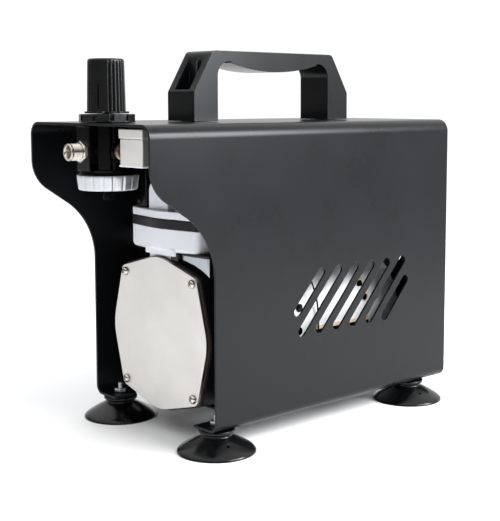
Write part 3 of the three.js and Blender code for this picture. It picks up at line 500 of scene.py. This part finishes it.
def slot_cuts(low, high):
    """Slanted cooling slots through both sides. The first starts higher and the last ends lower."""
    count, pitch, first_y, half_width = 7, 15, -30.4, 3.1
    bottom, top, first_bottom, last_top = 61.5, 102.8, 74.3, 89.5
    lean = 1 / math.tan(math.radians(48))
    cuts = []
    for i in range(count):
        z0 = first_bottom if i == 0 else bottom
        z1 = last_top if i == count - 1 else top
        start = first_y + pitch * i
        foot = (start + (z0 + half_width - bottom) * lean, z0 + half_width)
        head = (start + (z1 - half_width - bottom) * lean, z1 - half_width)
        outline = [*arc(*head, half_width, -42, 138, 14), *arc(*foot, half_width, 138, 318, 14)]
        cuts.append(prism(outline, low.x - 5, high.x + 5, "X"))
    return cuts


def tab_cuts(low, high, lower, tab_edge):
    """What is cut from the two bottom lips to leave four tabs, with a hollow corner at each tab's root."""
    lip_edge, lip_inside, tab_length, corner, overlap = 52.0, 20, 19.2, 5.0, 0.2
    rear_tab = (90.4, 109.6)
    spans = [(low.y - 5, lower), (lower + tab_length, rear_tab[0]), (rear_tab[1], high.y + 5)]
    z0, z1 = low.z - 5, low.z + 4
    quarter = [math.pi / 2 * k / 8 for k in range(9)]
    cuts = []
    for x in (-1, 1):
        a, b = sorted((x * lip_inside, x * lip_edge))
        cuts += [block(a, y0, z0, b, y1, z1) for y0, y1 in spans]
        edges = [(y, toward) for span_y in spans[1:] for y, toward in zip(span_y, (1, -1)) if y <= high.y]
        for y, toward in edges:
            edge = y - toward * corner
            outline = [(x * (tab_edge - 1), y + toward * overlap), (x * (tab_edge - 1), edge)]
            outline += [(x * (tab_edge + corner - corner * math.cos(t)), edge + toward * corner * math.sin(t))
                        for t in quarter]
            outline.append((x * (tab_edge + corner), y + toward * overlap))
            cuts.append(prism(outline, z0, z1))
    return cuts


def make_shell():
    low, high = span("shell")
    tab_edge, lower, stud_hole = 41.0, -80.2, 2.3
    blank = prism(wrap_outline(low, high, tab_edge), low.y, high.y, "Y")
    cuts = [front_cut(low, high, lower), *slot_cuts(low, high), *tab_cuts(low, high, lower, tab_edge)]
    nut = centre("panel_nut")
    cuts.append(rod(PANEL_HOLE, high.z - 5, high.z + 5, (0, nut.y, 0)))
    for number in range(1, 5):
        stud = centre(f"foot_stud_{number}")
        cuts.append(rod(stud_hole, 5, 25, (stud.x, stud.y, 0), steps=24))
    piece("case_wrap", blank, "shell", width=0.4, cuts=cuts, smooth=50)


def handle_outline(low, high):
    """The handle from the side: sloping shoulders outside, and an arched opening whose top bows down."""
    base, shoulder, top = low.z, 210.0, high.z
    leg, arch, bow, bow_low, sweep = 18.5, 9.0, 137.0, 222.8, 16.5
    middle = (low.y + high.y) / 2
    bow_z = bow_low + bow
    arch_z = bow_z - (bow + arch) * math.cos(math.radians(sweep))
    outer = filleted([
        (high.y, base, 0), (high.y, shoulder, 3), (high.y - 15, top, 4), (low.y + 15, top, 4),
        (low.y, shoulder, 3), (low.y, base, 0),
    ], 8)
    inner = [
        (low.y + leg, base), *arc(low.y + leg + arch, arch_z, arch, 180, 90 - sweep, 14),
        *arc(middle, bow_z, bow, 270 - sweep + 0.6, 270 + sweep - 0.6, 24),
        *arc(high.y - leg - arch, arch_z, arch, 90 + sweep, 0, 14), (high.y - leg, base),
    ]
    return outer + inner


def handle_pocket(end, way):
    """The hollow in a leg's outer face, open above, less the rib that stands in it."""
    step_z, floor_z, above, half_width = 211.5, 206, 240, 7.6
    step, back = end + way * 2.4, end + way * 12.5
    outline = [(end - way * 5, above), (end - way * 5, step_z), (step, step_z), (step, floor_z),
               (back, floor_z), (back, above)]
    pocket = as_object("pocket", prism(outline, -half_width, half_width, "X"), LOOKS["black_plastic"])
    rib_a, rib_b = sorted((end + way * 10.6, end + way * 15))
    carve(pocket, [block(1.6, rib_a, 200, 3.0, rib_b, 245)])
    solid = bmesh.new()
    solid.from_mesh(pocket.data)
    bmesh.ops.transform(solid, matrix=Matrix.Scale(1 / MM, 4), verts=solid.verts)
    bpy.data.objects.remove(pocket)
    return solid


def make_handle():
    low, high = span("handle")
    solid = prism(handle_outline(low, high), -high.x, high.x, "X")
    body = as_object("carry_handle", solid, LOOKS["black_plastic"])
    soften(body, 0.9, 4, angle=30)
    body.modifiers.remove(body.modifiers["normals"])
    settle(body)
    carve(body, [handle_pocket(low.y, 1), handle_pocket(high.y, -1)])
    soften(body, 0.35, 3, angle=42)
    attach(body, "case")
    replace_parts(body, "handle")


def make_foot(number):
    """A suction cup, hollow below, with a stud and a nut that clamps the case's tab."""
    foot, stud = span(f"suction_foot_{number}"), centre(f"foot_stud_{number}")
    x, y, rim, top = stud.x, stud.y, (foot[1].x - foot[0].x) / 2, foot[1].z
    dome = [(rim, 0), (rim, 0.8), (rim - 0.5, 1.5)]
    dome += [(rim - 0.5 - (rim - 10.2) * t, 1.5 + 8.1 * t ** 0.86) for t in (k / 14 for k in range(1, 15))]
    neck = [(9.4, 10.2), (9.3, 10.8), (9.7, 11.3), (10.5, 11.6), (10.8, 12.0), (10.8, top - 0.5), (10.3, top),
            (2.4, top)]
    under = [(2.4, 7.5), (0, 7.5)]
    hollow = [(0, 2.8), (8, 2.5), (16, 1.8), (19.3, 0.9), (21.6, 0.25), (22.2, 0)]
    way, out = math.radians(-14), 15.2
    hole = rod(1.0, 3, 14, (x + out * math.cos(way), y + out * math.sin(way), 0), steps=20)
    piece(f"suction_cup_{number}", turned([*hollow, *dome, *neck, *under], (x, y, 0), steps=96),
          f"suction_foot_{number}", width=0, cuts=[hole], smooth=55)
    low, high = span(f"foot_stud_{number}")
    pitch, turns = 0.7, 18
    thread = [(0, low.z), (1.8, low.z)]
    for k in range(turns):
        z = low.z + 0.4 + pitch * k
        thread += [(1.98, z), (1.7, z + pitch / 2)]
    thread += [(1.8, high.z - 0.3), (1.4, high.z), (0, high.z)]
    nut_low = TAB_Z + SHEET + GAP
    nut = prism(circle(4.04, 6, turn=15), nut_low, nut_low + 2.4)
    piece(f"threaded_stud_{number}", gather(turned(thread, (x, y, 0), steps=28), shifted(nut, x, y)),
          f"foot_stud_{number}", width=0.15)


def make_feet():
    for number in range(1, 5):
        make_foot(number)


# ---------------------------------------------------------------- regulator

COLLAR_TOP = 165.0  # top of the flange over the trap
BODY_TOP = 190.2  # shoulder below the regulator's thread


def make_knob():
    low, high = span("knob")
    at = centre("knob")
    radius, base = 11.4, low.z + 1.2
    plain_arc, groove_arc = 56, 12.8

    def grip(angle, r, z):
        """Three shallow finger hollows, with fine grooves between them that fade out at the top."""
        turn = (math.degrees(angle) + 88) % 120
        fade = max(0.0, min(1.0, (high.z - 1.0 - z) / 2.5))
        if turn < plain_arc:
            return r * (1 - 0.04 * math.sin(math.pi * turn / plain_arc) ** 0.8)
        groove = 0.5 - 0.5 * math.cos(TAU * (turn - plain_arc) / groove_arc)
        return r - 0.85 * fade * groove ** 2.2

    rise = high.z - base
    profile = [(0, base), (radius, base)]
    profile += [(radius * (1 - 0.055 * t), base + (rise - 1.7) * t) for t in (k / 14 for k in range(1, 15))]
    crown = ((0.935, 1.0), (0.91, 0.45), (0.87, 0.1), (0.82, 0), (0.74, 0.1), (0.70, 0.5))
    profile += [(radius * share, high.z - drop) for share, drop in crown]
    profile.append((0, high.z - 0.5))
    body = turned(profile, (at.x, at.y, 0), steps=360, shape=grip)
    slit = spun(block(radius - 2.2, -0.42, base + 1.4, radius + 2, 0.42, base + 15.5), -60)
    piece("regulator_knob", body, "knob", width=0.0, look=KNOB_BLACK, cuts=[shifted(slit, at.x, at.y)],
          smooth=38)
    teeth = [12.9 if i % 6 < 4 else 11.7 for i in range(72)]
    outline = [(r * math.cos(TAU * i / 72) + at.x, r * math.sin(TAU * i / 72) + at.y)
               for i, r in enumerate(teeth)]
    detail("knob_skirt", prism(outline, low.z, low.z + 1.15), KNOB_BLACK, 0.2, "black_plastic", "knob_body")


def make_nut():
    low, high = span("panel_nut")
    at = centre("panel_nut")
    sides, radius, turn = 10, 16.6, 12
    cuts = [rod(PANEL_HOLE, low.z - 2, high.z + 2)]
    for i in range(sides):
        notch = block(14.6, -1.1, low.z + 0.9, 18, 1.1, high.z + 2)
        cuts.append(spun(notch, turn + 360 / sides * i))
    obj = as_object("ring_nut", prism(circle(radius, sides, turn=turn), low.z, high.z), KNOB_BLACK)
    carve(obj, cuts)
    obj.data.transform(Matrix.Translation((at.x * MM, at.y * MM, 0)))
    soften(obj, 0.45, 3)
    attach(obj, "case")
    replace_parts(obj, "panel_nut")


def make_regulator():
    """A hollow column with its port block, two bosses, a threaded neck and the flange over the trap."""
    low, high = span("regulator_body")
    y = centre("panel_nut").y

    def fluted(angle, r, z):
        turn = math.degrees(angle) % 360
        if 280 < turn < 352:
            return r - 0.55 * (0.5 - 0.5 * math.cos(TAU * (turn - 280) / 24)) ** 3
        return r

    column = turned([
        (0, COLLAR_TOP - 0.5), (12.5, COLLAR_TOP - 0.5), (12.5, BODY_TOP), (9.2, BODY_TOP), (9.2, 180.6),
        (0, 180.6),
    ], (0, y, 0), steps=240, shape=fluted)
    port = block(-6.6, low.y, COLLAR_TOP - 0.4, 6.6, y - 10.6, BODY_TOP - 0.1)
    side_boss = turned([
        (0, 10.2), (6.2, 10.2), (6.2, 12.9), (5.8, 13.4), (4.3, 13.4), (4.3, 11), (0, 11),
    ], (0, y, 175.7), "X")
    rear_boss = turned([
        (0, y + 10.2), (5.4, y + 10.2), (5.4, y + 15), (3.4, y + 15), (3.4, y + 11.5), (0, y + 11.5),
    ], (0, 0, 172.2), "Y", 48)
    neck_low, bore, pitch = BODY_TOP - 0.5, 9, 1.15
    thread = [(bore, neck_low), (11.6, neck_low)]
    for k in range(6):
        z = neck_low + 0.5 + pitch * k
        thread += [(11.8, z), (11.3, z + 0.55)]
    thread += [(11.3, high.z), (bore, high.z), (bore, neck_low)]
    neck = turned(thread, (0, y, 0), steps=96)
    flange = turned([
        (0, low.z), (15.9, low.z), (16.7, low.z + 0.7), (16.7, COLLAR_TOP - 0.9), (16.1, COLLAR_TOP),
        (13.4, COLLAR_TOP + 0.2), (0, COLLAR_TOP + 0.2),
    ], (0, y, 0), steps=96)
    piece("regulator_column", column, "regulator_body", width=0.25, smooth=30)
    detail("regulator_port_face", port, "gloss_black", 0.5)
    detail("regulator_side_boss", side_boss, "gloss_black", 0.2)
    detail("regulator_rear_boss", rear_boss, "gloss_black", 0.2)
    detail("regulator_neck", neck, "gloss_black", 0)
    detail("trap_flange", flange, "gloss_black", 0)


def make_nipple():
    low = span("outlet_nipple")[0]
    z = centre("outlet_nipple").z
    face, bore, turns, pitch = -124.6, 2.3, 5, 1.05
    profile = [
        (bore, face + 5.6), (4.4, face + 5.6), (4.4, face), (5.4, face), (5.4, face - 4.2), (5.7, face - 4.3),
        (5.5, face - 4.8), (4.8, face - 5.0),
    ]
    for i in range(turns):
        at = face - 5.2 - i * pitch
        profile += [(4.85, at - 0.3), (4.25, at - 0.82)]
    profile += [
        (4.4, low.y + 1.7), (4.85, low.y + 1.4), (4.9, low.y + 0.4), (4.6, low.y), (3.6, low.y),
        (3.2, low.y + 0.5), (3.0, low.y + 2.0), (2.6, low.y + 3.2), (bore, low.y + 6), (bore, face + 5.6),
    ]
    piece("outlet_fitting", turned(profile, (0, 0, z), "Y", 72), "outlet_nipple", width=0, smooth=35)
    hexagon = prism([(a, b + z) for a, b in circle(6.4, 6, turn=30)], face - 4.3, face, "Y")
    clearance = rod(5.5, face - 5, face + 2, (0, 0, z), "Y", 48)
    detail("outlet_hex", hexagon, "bright_nickel", 0.35, cuts=[clearance])


def make_switch_box():
    """The pressure switch: an open box with a lid and a foot, and the union that joins it on."""
    low, high = span("pressure_switch_body")
    cap_low, cap_high = span("pressure_switch_cap")
    wall = 1.6
    body = prism(rectangle(low.x, low.y, high.x, high.y, 1.0), low.z, high.z)
    opening = rectangle(low.x + wall, low.y + wall, high.x - wall, high.y - wall, 0.8)
    recess = prism(opening, low.z + 1.8, high.z + 3)
    piece("switch_box", body, "pressure_switch_body", width=0.35, cuts=[recess], look=LIT_BOX_NICKEL)
    cap = prism(rectangle(cap_low.x, cap_low.y, cap_high.x, cap_high.y, 1.3), cap_low.z, cap_high.z)
    piece("switch_box_lid", cap, "pressure_switch_cap", width=0.5, look=LIT_BOX_NICKEL)
    skirt = prism(rectangle(low.x - 0.5, low.y - 0.5, high.x + 0.5, high.y + 0.5, 1.2), low.z, low.z + 1.0)
    detail("switch_box_foot", skirt, "white_paint", 0.3)
    low, high = span("union_flange")
    y, z = centre("union_flange").y, centre("union_flange").z
    profile = [
        (2, low.x), (4, low.x), (4, 13.7), (4.8, 13.7), (4.8, 15.0), (4.0, 15.3), (4.0, high.x - 4.4),
        (5.2, high.x - 4.2), (5.7, high.x - 3.6), (5.7, high.x - 0.4), (5.3, high.x), (2, high.x), (2, low.x),
    ]
    piece("union_disc", turned(profile, (0, y, z), "X", 72), "union_flange", width=0, look=WARM_NICKEL)


def make_trap():
    low, high = span("trap_bowl")
    at = centre("trap_bowl")
    radius, inner, drain_hole = 18.0, 13.5, 2.1

    def fluted(angle, r, z):
        """Eighteen narrow flutes in the outside wall."""
        turn = math.degrees(angle) % 20
        dip = max(0.0, 1 - abs(turn - 16.5) / 3.4)
        return r - 0.6 * dip ** 0.8 * (r > 14.5)

    rise = high.z - low.z
    outside = [(radius * 0.90, low.z), (radius * 0.925, low.z + 0.15), (radius * 0.945, low.z + 0.6)]
    outside += [(radius * (0.95 + 0.05 * k / 6), low.z + 0.9 + (rise - 1.3) * k / 6) for k in range(7)]
    outside += [(radius * 0.995, high.z - 0.15), (radius * 0.98, high.z)]
    inside = [
        (inner, high.z), (inner, low.z + 3), (12.6, low.z + 1.8), (drain_hole, low.z + 1.8),
        (drain_hole, low.z), (radius * 0.90, low.z),
    ]
    cup = turned([*outside, *inside], (at.x, at.y, 0), steps=360, shape=fluted)
    piece("trap_cup", cup, "trap_bowl", width=0, smooth=36, look=CUP_SILVER)
    drain_low, drain_high = span("drain_valve")
    base = drain_low.z
    profile = [
        (0, base), (2.4, base), (2.9, base + 0.4), (3, base + 0.8), (3, base + 3), (2.7, base + 3.3),
        (1.8, base + 3.6), (1.8, base + 8.2), (3.0, base + 8.2), (3.2, base + 8.5), (3.2, base + 9.2),
        (1.4, drain_high.z), (0, drain_high.z),
    ]
    button = turned(profile, (at.x, at.y, 0), steps=48)
    piece("drain_button", button, "drain_valve", width=0, look=MATT_BLACK)


# ---------------------------------------------------------------- pump

SHAFT_Z = 63.0  # height of the crankshaft and the motor
BORE_Y = -47.0  # the cylinder's axis
HOSE_END = (-4, -55, 0)  # axis of the barb that the hose leaves from
INTAKE = (-26.6, -59, 0)  # axis of the silencer's vent


def head_outline(grow=0.0):
    outline = crested_square(37 + grow, 28 + grow, 30, 20, 4 + grow, 60 + grow)
    return [(a, b + BORE_Y) for a, b in outline]


def make_head():
    """The head with its discharge tower and fins, and the barb that the hose leaves from."""
    low, high = span("cylinder_head")
    plate_top, tower_front = 138.6, -71.5
    plate = prism(head_outline(), low.z, plate_top)
    arch = filleted([(-13.5, 138, 0), (5.5, 138, 0), (5.5, 157, 4.5), (-13.5, 157, 8)], 12)
    tower = prism(arch, tower_front, -46, "Y")
    fins = [block(-26, -42 + 5 * i, 138, 26, -40.4 + 5 * i, 145) for i in range(4)]
    barb = turned([
        (0, 155), (4.6, 155), (4.6, 160), (3.2, 160.6), (3.2, 162), (3.6, 162.2), (3.2, 164), (3.6, 164.2),
        (3.0, high.z), (1.8, high.z), (1.8, 160), (0, 160),
    ], HOSE_END, steps=48)
    ring = sleeve(4.3, 4.55, -71.62, -71.35, (-4.5, 0, 146.5), "Y", 64)
    piece("pump_head", plate, "cylinder_head", width=0.6, joins=[tower, *fins])
    detail("head_seal_ring", ring, "white_paint", 0)
    detail("hose_barb", barb, "silver", 0)


def make_cylinder():
    """The valve plate, and the cylinder block that swells from a narrow neck to the head's outline."""
    low, high = span("valve_plate")
    passage = rod(3, 120, 140, HOSE_END, steps=32)
    piece("valve_band", prism(head_outline(0.4), low.z, high.z), "valve_plate", width=0.35, cuts=[passage])
    outline = head_outline()
    low, high = span("cylinder")
    levels = [(113.9, 0.935), (114.2, 0.96), (114.8, 0.98), (115.6, 0.994), (116.6, 1.0), (high.z, 1.0)]
    body = loft([[Vector((x * s, BORE_Y + (y - BORE_Y) * s, z)) for x, y in outline] for z, s in levels])
    neck = prism(rectangle(-15.5, -71.7, 15.5, -29, 4), low.z, 116)
    collar = prism(rectangle(-15.5, -74.1, 15.5, -50, 2.5), 111.7, 116)
    bore = rod(12.5, 90, 140, (0, BORE_Y, 0))
    piece("cylinder_block", body, "cylinder", width=0.5, joins=[neck, collar], cuts=[bore])


def make_side_bracket():
    """The bright bracket beside the cylinder's neck, a black strip along its top that is painted shade under
    the cylinder block, and the plug next to it.
    """
    inner, outer = 17.0, 44
    outline = [(inner, 113.6), (outer, 114.0), (outer, 101.5), (37, 104.6), (30, 106.9), (inner, 109.4)]
    detail("side_bracket", prism(outline, -70.5, -58, "Y"), BRACKET, 1.2, "silver")
    # A black strip along the bracket's top edge: painted shade under the cylinder block.
    edge = prism(rectangle(inner, 113.4, outer, 114.3, 0.3), -71.0, -58, "Y")
    detail("bracket_painted_shade", edge, LOOKS["black_casting"], 0.2)
    plug = prism(rectangle(9.8, 108.6, 17.2, 113.9, 0.8), -72.7, -63, "Y")
    detail("bracket_plug", plug, "black_rubber", 0.5)


def cover_outline(grow=0.0):
    z = centre("cover_plate").z
    outline = crested_square(46.8 + grow, 47.2 + grow, 34, 34.6, 4.3 + grow, 32 + grow)
    return [(a, b + z) for a, b in outline]


def make_cover_screw(number):
    """A domed screw with a crossed recess, turned a little further than the screw before it."""
    at = centre(f"cover_screw_{number}")
    low, high = span(f"cover_screw_{number}")
    front, seat = low.y, low.y + 2.0
    profile = [
        (0, front), (0.9, front + 0.04), (1.7, front + 0.25), (2.3, front + 0.7), (2.7, front + 1.2),
        (2.8, seat - 0.2), (2.7, seat), (1.5, seat), (1.5, high.y), (0, high.y),
    ]
    cuts = []
    for turn in (22 + 7 * number, 112 + 7 * number):
        bar = block(-1.55, front - 1, -0.33, 1.55, front + 1.1, 0.33)
        cuts.append(shifted(spun(bar, turn, "Y"), at.x, 0, at.z))
    piece(f"cover_fixing_{number}", turned(profile, (at.x, 0, at.z), "Y", 48), f"cover_screw_{number}",
          width=0.08, cuts=cuts, smooth=35)


def make_cover():
    low, high = span("cover_plate")
    piece("pump_cover", prism(cover_outline(), low.y, high.y, "Y"), "cover_plate", width=0.25)
    low, high = span("cover_gasket")
    window = rod(31, -80, -70, (0, 0, SHAFT_Z), "Y")
    seal = prism(cover_outline(0.4), low.y, high.y, "Y")
    piece("cover_seal", seal, "cover_gasket", width=0.1, cuts=[window])
    for number in range(1, 5):
        make_cover_screw(number)


def make_crankcase():
    low, high = span("crankcase")
    body = prism(cover_outline(1.2), low.y, high.y, "Y")
    shaft = (0, 0, SHAFT_Z)
    cuts = [
        block(-60, low.y - 2, 108, 60, high.y + 2, 128), block(-60, low.y + 6, 0, 60, high.y + 2, 23.9),
        rod(30, low.y - 2, -35.5, shaft, "Y"), rod(12.8, 83, 113, (0, BORE_Y, 0)),
        rod(11.3, -40, -20, shaft, "Y"), sleeve(30, 80, high.y - 4, high.y + 3, shaft, "Y"),
    ]
    piece("pump_case", body, "crankcase", width=0.8, cuts=cuts)


def make_silencer():
    low, high = span("intake_silencer")
    left, right, front, rear, vent_radius = -35.2, -17.8, -70, -48, 3.6
    outline = filleted([(left, front, 4), (right, front, 1.5), (right, rear, 3), (left, rear, 4)], 8)
    cap = turned([
        (vent_radius, 167), (6, 167), (6, 173.4), (5.5, high.z), (vent_radius, high.z), (vent_radius, 167),
    ], INTAKE, steps=64)
    vent = rod(vent_radius, 150, 180, INTAKE, steps=48)
    piece("intake_filter", prism(outline, low.z, 168), "intake_silencer", width=0.7, cuts=[vent])
    detail("intake_snout", cap, "gloss_black", 0)
    front, screw_x, screw_z = low.y, -25, 142.7
    dome = [(0, front), (0.8, front + 0.1), (1.4, front + 0.4), (1.8, front + 1.0), (1.8, front + 2.4),
            (0, front + 2.4)]
    slit = block(screw_x - 1.3, front - 1, 142.45, screw_x + 1.3, front + 0.7, 142.95)
    detail("intake_screw", turned(dome, (screw_x, 0, screw_z), "Y", 32), "black_casting", 0, cuts=[slit])


def make_hose():
    route = [(-4, -55, 166.3), (-4, -55.4, 171), (-4, -59, 177), (-3.4, -66, 179), (-2, -74, 178),
             (-0.8, -82, 174.5), (0, -89, 172.6), (0, -94.6, 172.2)]
    piece("pressure_hose", tube_along(route, 3.0, 28, 8), "air_hose", width=0)


# ---------------------------------------------------------------- motor and back

CAN_RADIUS = 38  # outside of the motor
BACK_Y = 117.5  # inside face of the rear panel


def make_motor_can():
    low, high = span("motor_casing")
    inner, edge = 36.2, 37.6
    profile = [
        (inner, low.y), (edge, low.y), (CAN_RADIUS, low.y + 0.4), (CAN_RADIUS, high.y - 0.4), (edge, high.y),
        (inner, high.y), (inner, low.y),
    ]
    can = turned(profile, (0, 0, SHAFT_Z), "Y", 144)
    piece("motor_can", can, "motor_casing", width=0, smooth=40, look=MOTOR_TIN)


def make_motor_details():
    """What shows on the motor through the slots: bolts, the label's edge and the thermal switch's lead."""
    nuts, holes = [], []
    bolts = ((8.6, 73.1, 2.7, 0), (7.6, 58.3, 2.7, 0), (67.9, 81.6, 2.5, 4.3), (69.3, 73.1, 2.3, 4.1))
    for y, z, hole, nut in bolts:
        out = math.sqrt(CAN_RADIUS ** 2 - (z - SHAFT_Z) ** 2)
        holes.append(rod(hole, out - 5, out + 0.9, (0, y, z), "X", 40))
        if nut:
            nuts.append(sleeve(hole, nut, out - 5, out + 0.7, (0, y, z), "X", 6))
    detail("motor_bolt_nuts", gather(*nuts), TAN, 0.2)
    detail("motor_bolt_holes", gather(*holes), "gloss_black", 0)
    detail("motor_label_edge", block(36.6, 22.0, 57.4, 38.5, 72.5, 59.8), TAN, 0.1)
    detail("motor_label_shade", block(36.6, 22.0, 53.6, 38.4, 72.5, 57.4), "black_rubber", 0.1)
    route = [(33.5, 10.5, 101), (37.0, 13.0, 95.5), (39.6, 16.4, 90.0), (39.6, 19.0, 85), (39.6, 22.3, 75),
             (39.6, 23.4, 62.4), (39.6, 23.0, 50), (37.5, 21.0, 38), (33.0, 18.0, 30)]
    detail("thermal_lead", tube_along(route, 0.6, 16), "black_rubber", 0)


def make_motor_bells():
    low, high = span("end_bell_front")
    near, far, bore = low.y, high.y, 5.3
    front = [
        (bore, near), (18, near), (18.5, far - 8), (20, far - 6.4), (36, far - 5.8), (CAN_RADIUS, far - 4.6),
        (CAN_RADIUS, far), (bore, far), (bore, near),
    ]
    piece("motor_bell_front", turned(front, (0, 0, SHAFT_Z), "Y", 96), "end_bell_front", width=0, smooth=40,
          look=MOTOR_TIN)
    low, high = span("end_bell_rear")
    near, far = low.y, high.y
    rear = [(bore, near), (CAN_RADIUS, near), (CAN_RADIUS, far - 1.4), (36.6, far), (bore, far), (bore, near)]
    ring, count, radius = 26, 6, 6
    holes = []
    for i in range(count):
        t = math.radians(360 / count * i)
        place = (ring * math.cos(t), 0, SHAFT_Z - ring * math.sin(t))
        holes.append(rod(radius, near - 2, far + 2, place, "Y", 36))
    piece("motor_bell_rear", turned(rear, (0, 0, SHAFT_Z), "Y", 96), "end_bell_rear", width=0.3, cuts=holes,
          smooth=40, look=MOTOR_TIN)


def make_leads():
    """The two leads inside the case, from the rear panel to the motor and to the rocker switch."""
    start = BACK_Y - 10 - GAP
    lead = [(30, start, 154), (30, start - 6, 153), (29, start - 18, 140), (24, start - 30, 120),
            (18, start - 36, 104), (16, start - 37, 99.2)]
    piece("motor_wire", tube_along(lead, 1.6, 20), "motor_lead", width=0)
    start = BACK_Y - 6.5 - GAP
    lead = [(-30, start, 42), (-30, start - 3, 43), (-35, start - 4, 54), (-37, start - 3, 100),
            (-24, start - 4, 138), (0, start - 5, 146), (20, start - 8, 146), (27, start - 8, 145.5),
            (30, start - 5.4, 145), (30, 107.2, 145)]
    piece("mains_wire", tube_along(lead, 1.6, 20), "inlet_lead", width=0)


def make_gland():
    low, high = span("cord_gland")
    at = centre("cord_gland")
    panel, end, bore = BACK_Y + SHEET + GAP, high.y, 3.4
    profile = [
        (bore, low.y), (5.9, low.y), (5.9, panel), (9.2, panel), (9.6, panel + 0.4), (9.6, panel + 2),
        (8, panel + 2.4), (8, panel + 8), (7.9, end - 6.5), (7.6, end - 5.4), (6.6, end - 2),
        (5.9, end - 0.6), (5, end), (3.9, end), (bore, end - 0.6), (bore, low.y),
    ]

    def ribbed(angle, r, y):
        depth = 0.35 * (0.5 + 0.5 * math.cos(18 * angle))
        return r - depth * (r > 6.5) * (panel + 8.2 < y < end - 1)

    body = turned(profile, (at.x, 0, at.z), "Y", 144, shape=ribbed)
    piece("cable_gland", body, "cord_gland", width=0, smooth=40)
    hexagon = prism([(a + at.x, b + at.z) for a, b in circle(9.8, 6, turn=15)], panel + 2.3, panel + 8, "Y")
    clearance = rod(7.9, panel, end, (at.x, 0, at.z), "Y", 48)
    detail("gland_hex", hexagon, "black_plastic", 0.4, cuts=[clearance])


def refine(name, width):
    """A CAD node keeps its shape and gets softened edges."""
    obj = frame["nodes"][name]
    obj.data.materials.clear()
    obj.data.materials.append(LOOKS[SLOT_OF[name]])
    weld = obj.modifiers.new("weld", "WELD")
    weld.merge_threshold = 1e-6
    flat = obj.modifiers.new("flat", "DECIMATE")
    flat.decimate_type = "DISSOLVE"
    flat.angle_limit = math.radians(0.6)
    step = obj.modifiers.new("edges", "BEVEL")
    step.width = width * MM
    step.segments = 2
    step.limit_method = "ANGLE"
    step.angle_limit = math.radians(32)


def make_all():
    for make in (make_shell, make_handle, make_feet, make_knob, make_nut, make_regulator, make_nipple,
                 make_switch_box, make_trap, make_head, make_cylinder, make_side_bracket, make_cover,
                 make_crankcase, make_silencer, make_hose, make_motor_can, make_motor_details,
                 make_motor_bells, make_leads, make_gland):
        make()
    shown = {name for obj in bpy.data.objects for name in obj.get("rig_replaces", [])}
    for name in frame["nodes"]:
        if name not in shown:
            refine(name, 0.2)


# ---------------------------------------------------------------- studio

LAMP_SPREAD = math.radians(100)


def make_camera():
    data = bpy.data.cameras.new("camera")
    camera = bpy.data.objects.new("camera", data)
    bpy.context.scene.collection.objects.link(camera)
    azimuth, pitch = math.radians(47.71), math.radians(6.087)
    level = math.cos(pitch)
    back = Vector((math.sin(azimuth) * level, -math.cos(azimuth) * level, math.sin(pitch)))
    camera.location = (0.53063, -0.46215, 0.20487)
    camera.rotation_euler = back.to_track_quat("Z", "Y").to_euler()
    data.sensor_width = 36
    data.lens = 74.87
    data.shift_x, data.shift_y = -0.0458, -0.0854
    data.clip_start = 0.01
    bpy.context.scene.camera = camera


def lamp(name, place, aim, size, power, tint):
    data = bpy.data.lights.new(name, "AREA")
    data.shape = "RECTANGLE"
    data.size, data.size_y = size
    data.energy = power
    data.color = tint
    data.spread = LAMP_SPREAD
    obj = bpy.data.objects.new(name, data)
    obj.location = place
    obj.rotation_euler = (Vector(place) - Vector(aim)).to_track_quat("Z", "Y").to_euler()
    bpy.context.scene.collection.objects.link(obj)


def make_world():
    """Walls that are bright beyond the object's rear and dim beyond its front, and a bright ceiling."""
    dim_wall, bright_wall, ceiling_strength = 0.16, 1.06, 1.55
    brightest_way = (-0.3, 0.954, 0.0)
    world = bpy.data.worlds.new("studio")
    world.use_nodes = True
    bpy.context.scene.world = world
    tree = world.node_tree
    way = node(tree, "ShaderNodeTexCoord").outputs["Generated"]
    bright_side = node(tree, "ShaderNodeVectorMath", operation="DOT_PRODUCT")
    bright_side.inputs[1].default_value = brightest_way
    tree.links.new(way, bright_side.inputs[0])
    wall = ranged(tree, bright_side.outputs["Value"], dim_wall, bright_wall, -0.05, 0.66)
    upward = node(tree, "ShaderNodeSeparateXYZ")
    tree.links.new(way, upward.inputs[0])
    ceiling = ranged(tree, upward.outputs["Z"], 0.0, 1.0, 0.30, 0.75)
    strength = node(tree, "ShaderNodeMix", {3: ceiling_strength}, data_type="FLOAT")
    tree.links.new(ceiling, strength.inputs[0])
    tree.links.new(wall, strength.inputs[2])
    background = tree.nodes["Background"]
    background.inputs["Color"].default_value = (1.0, 1.0, 1.0, 1)
    tree.links.new(strength.outputs[0], background.inputs["Strength"])


def make_studio():
    """A pale floor, and three soft lamps on the side of the slots."""
    make_world()
    floor = as_object("floor", prism(circle(4000, 96), -4, 0), FLOOR)
    lamp("key", (0.84, 0.60, 0.64), (0, 0, 0.12), (0.34, 0.50), 5.0, (0.97, 0.985, 1.0))
    lamp("side", (1.05, 0.22, 0.70), (0, 0, 0.1), (0.5, 0.45), 3.6, (1.0, 0.99, 0.97))
    lamp("strip", (0.95, 0.52, 0.33), (0, -0.06, 0.16), (0.28, 0.24), 0.9, (0.90, 0.96, 1.0))
    scene = bpy.context.scene
    scene.view_settings.view_transform = "Standard"
    scene.view_settings.look = "None"


make_camera()
make_studio()
make_all()
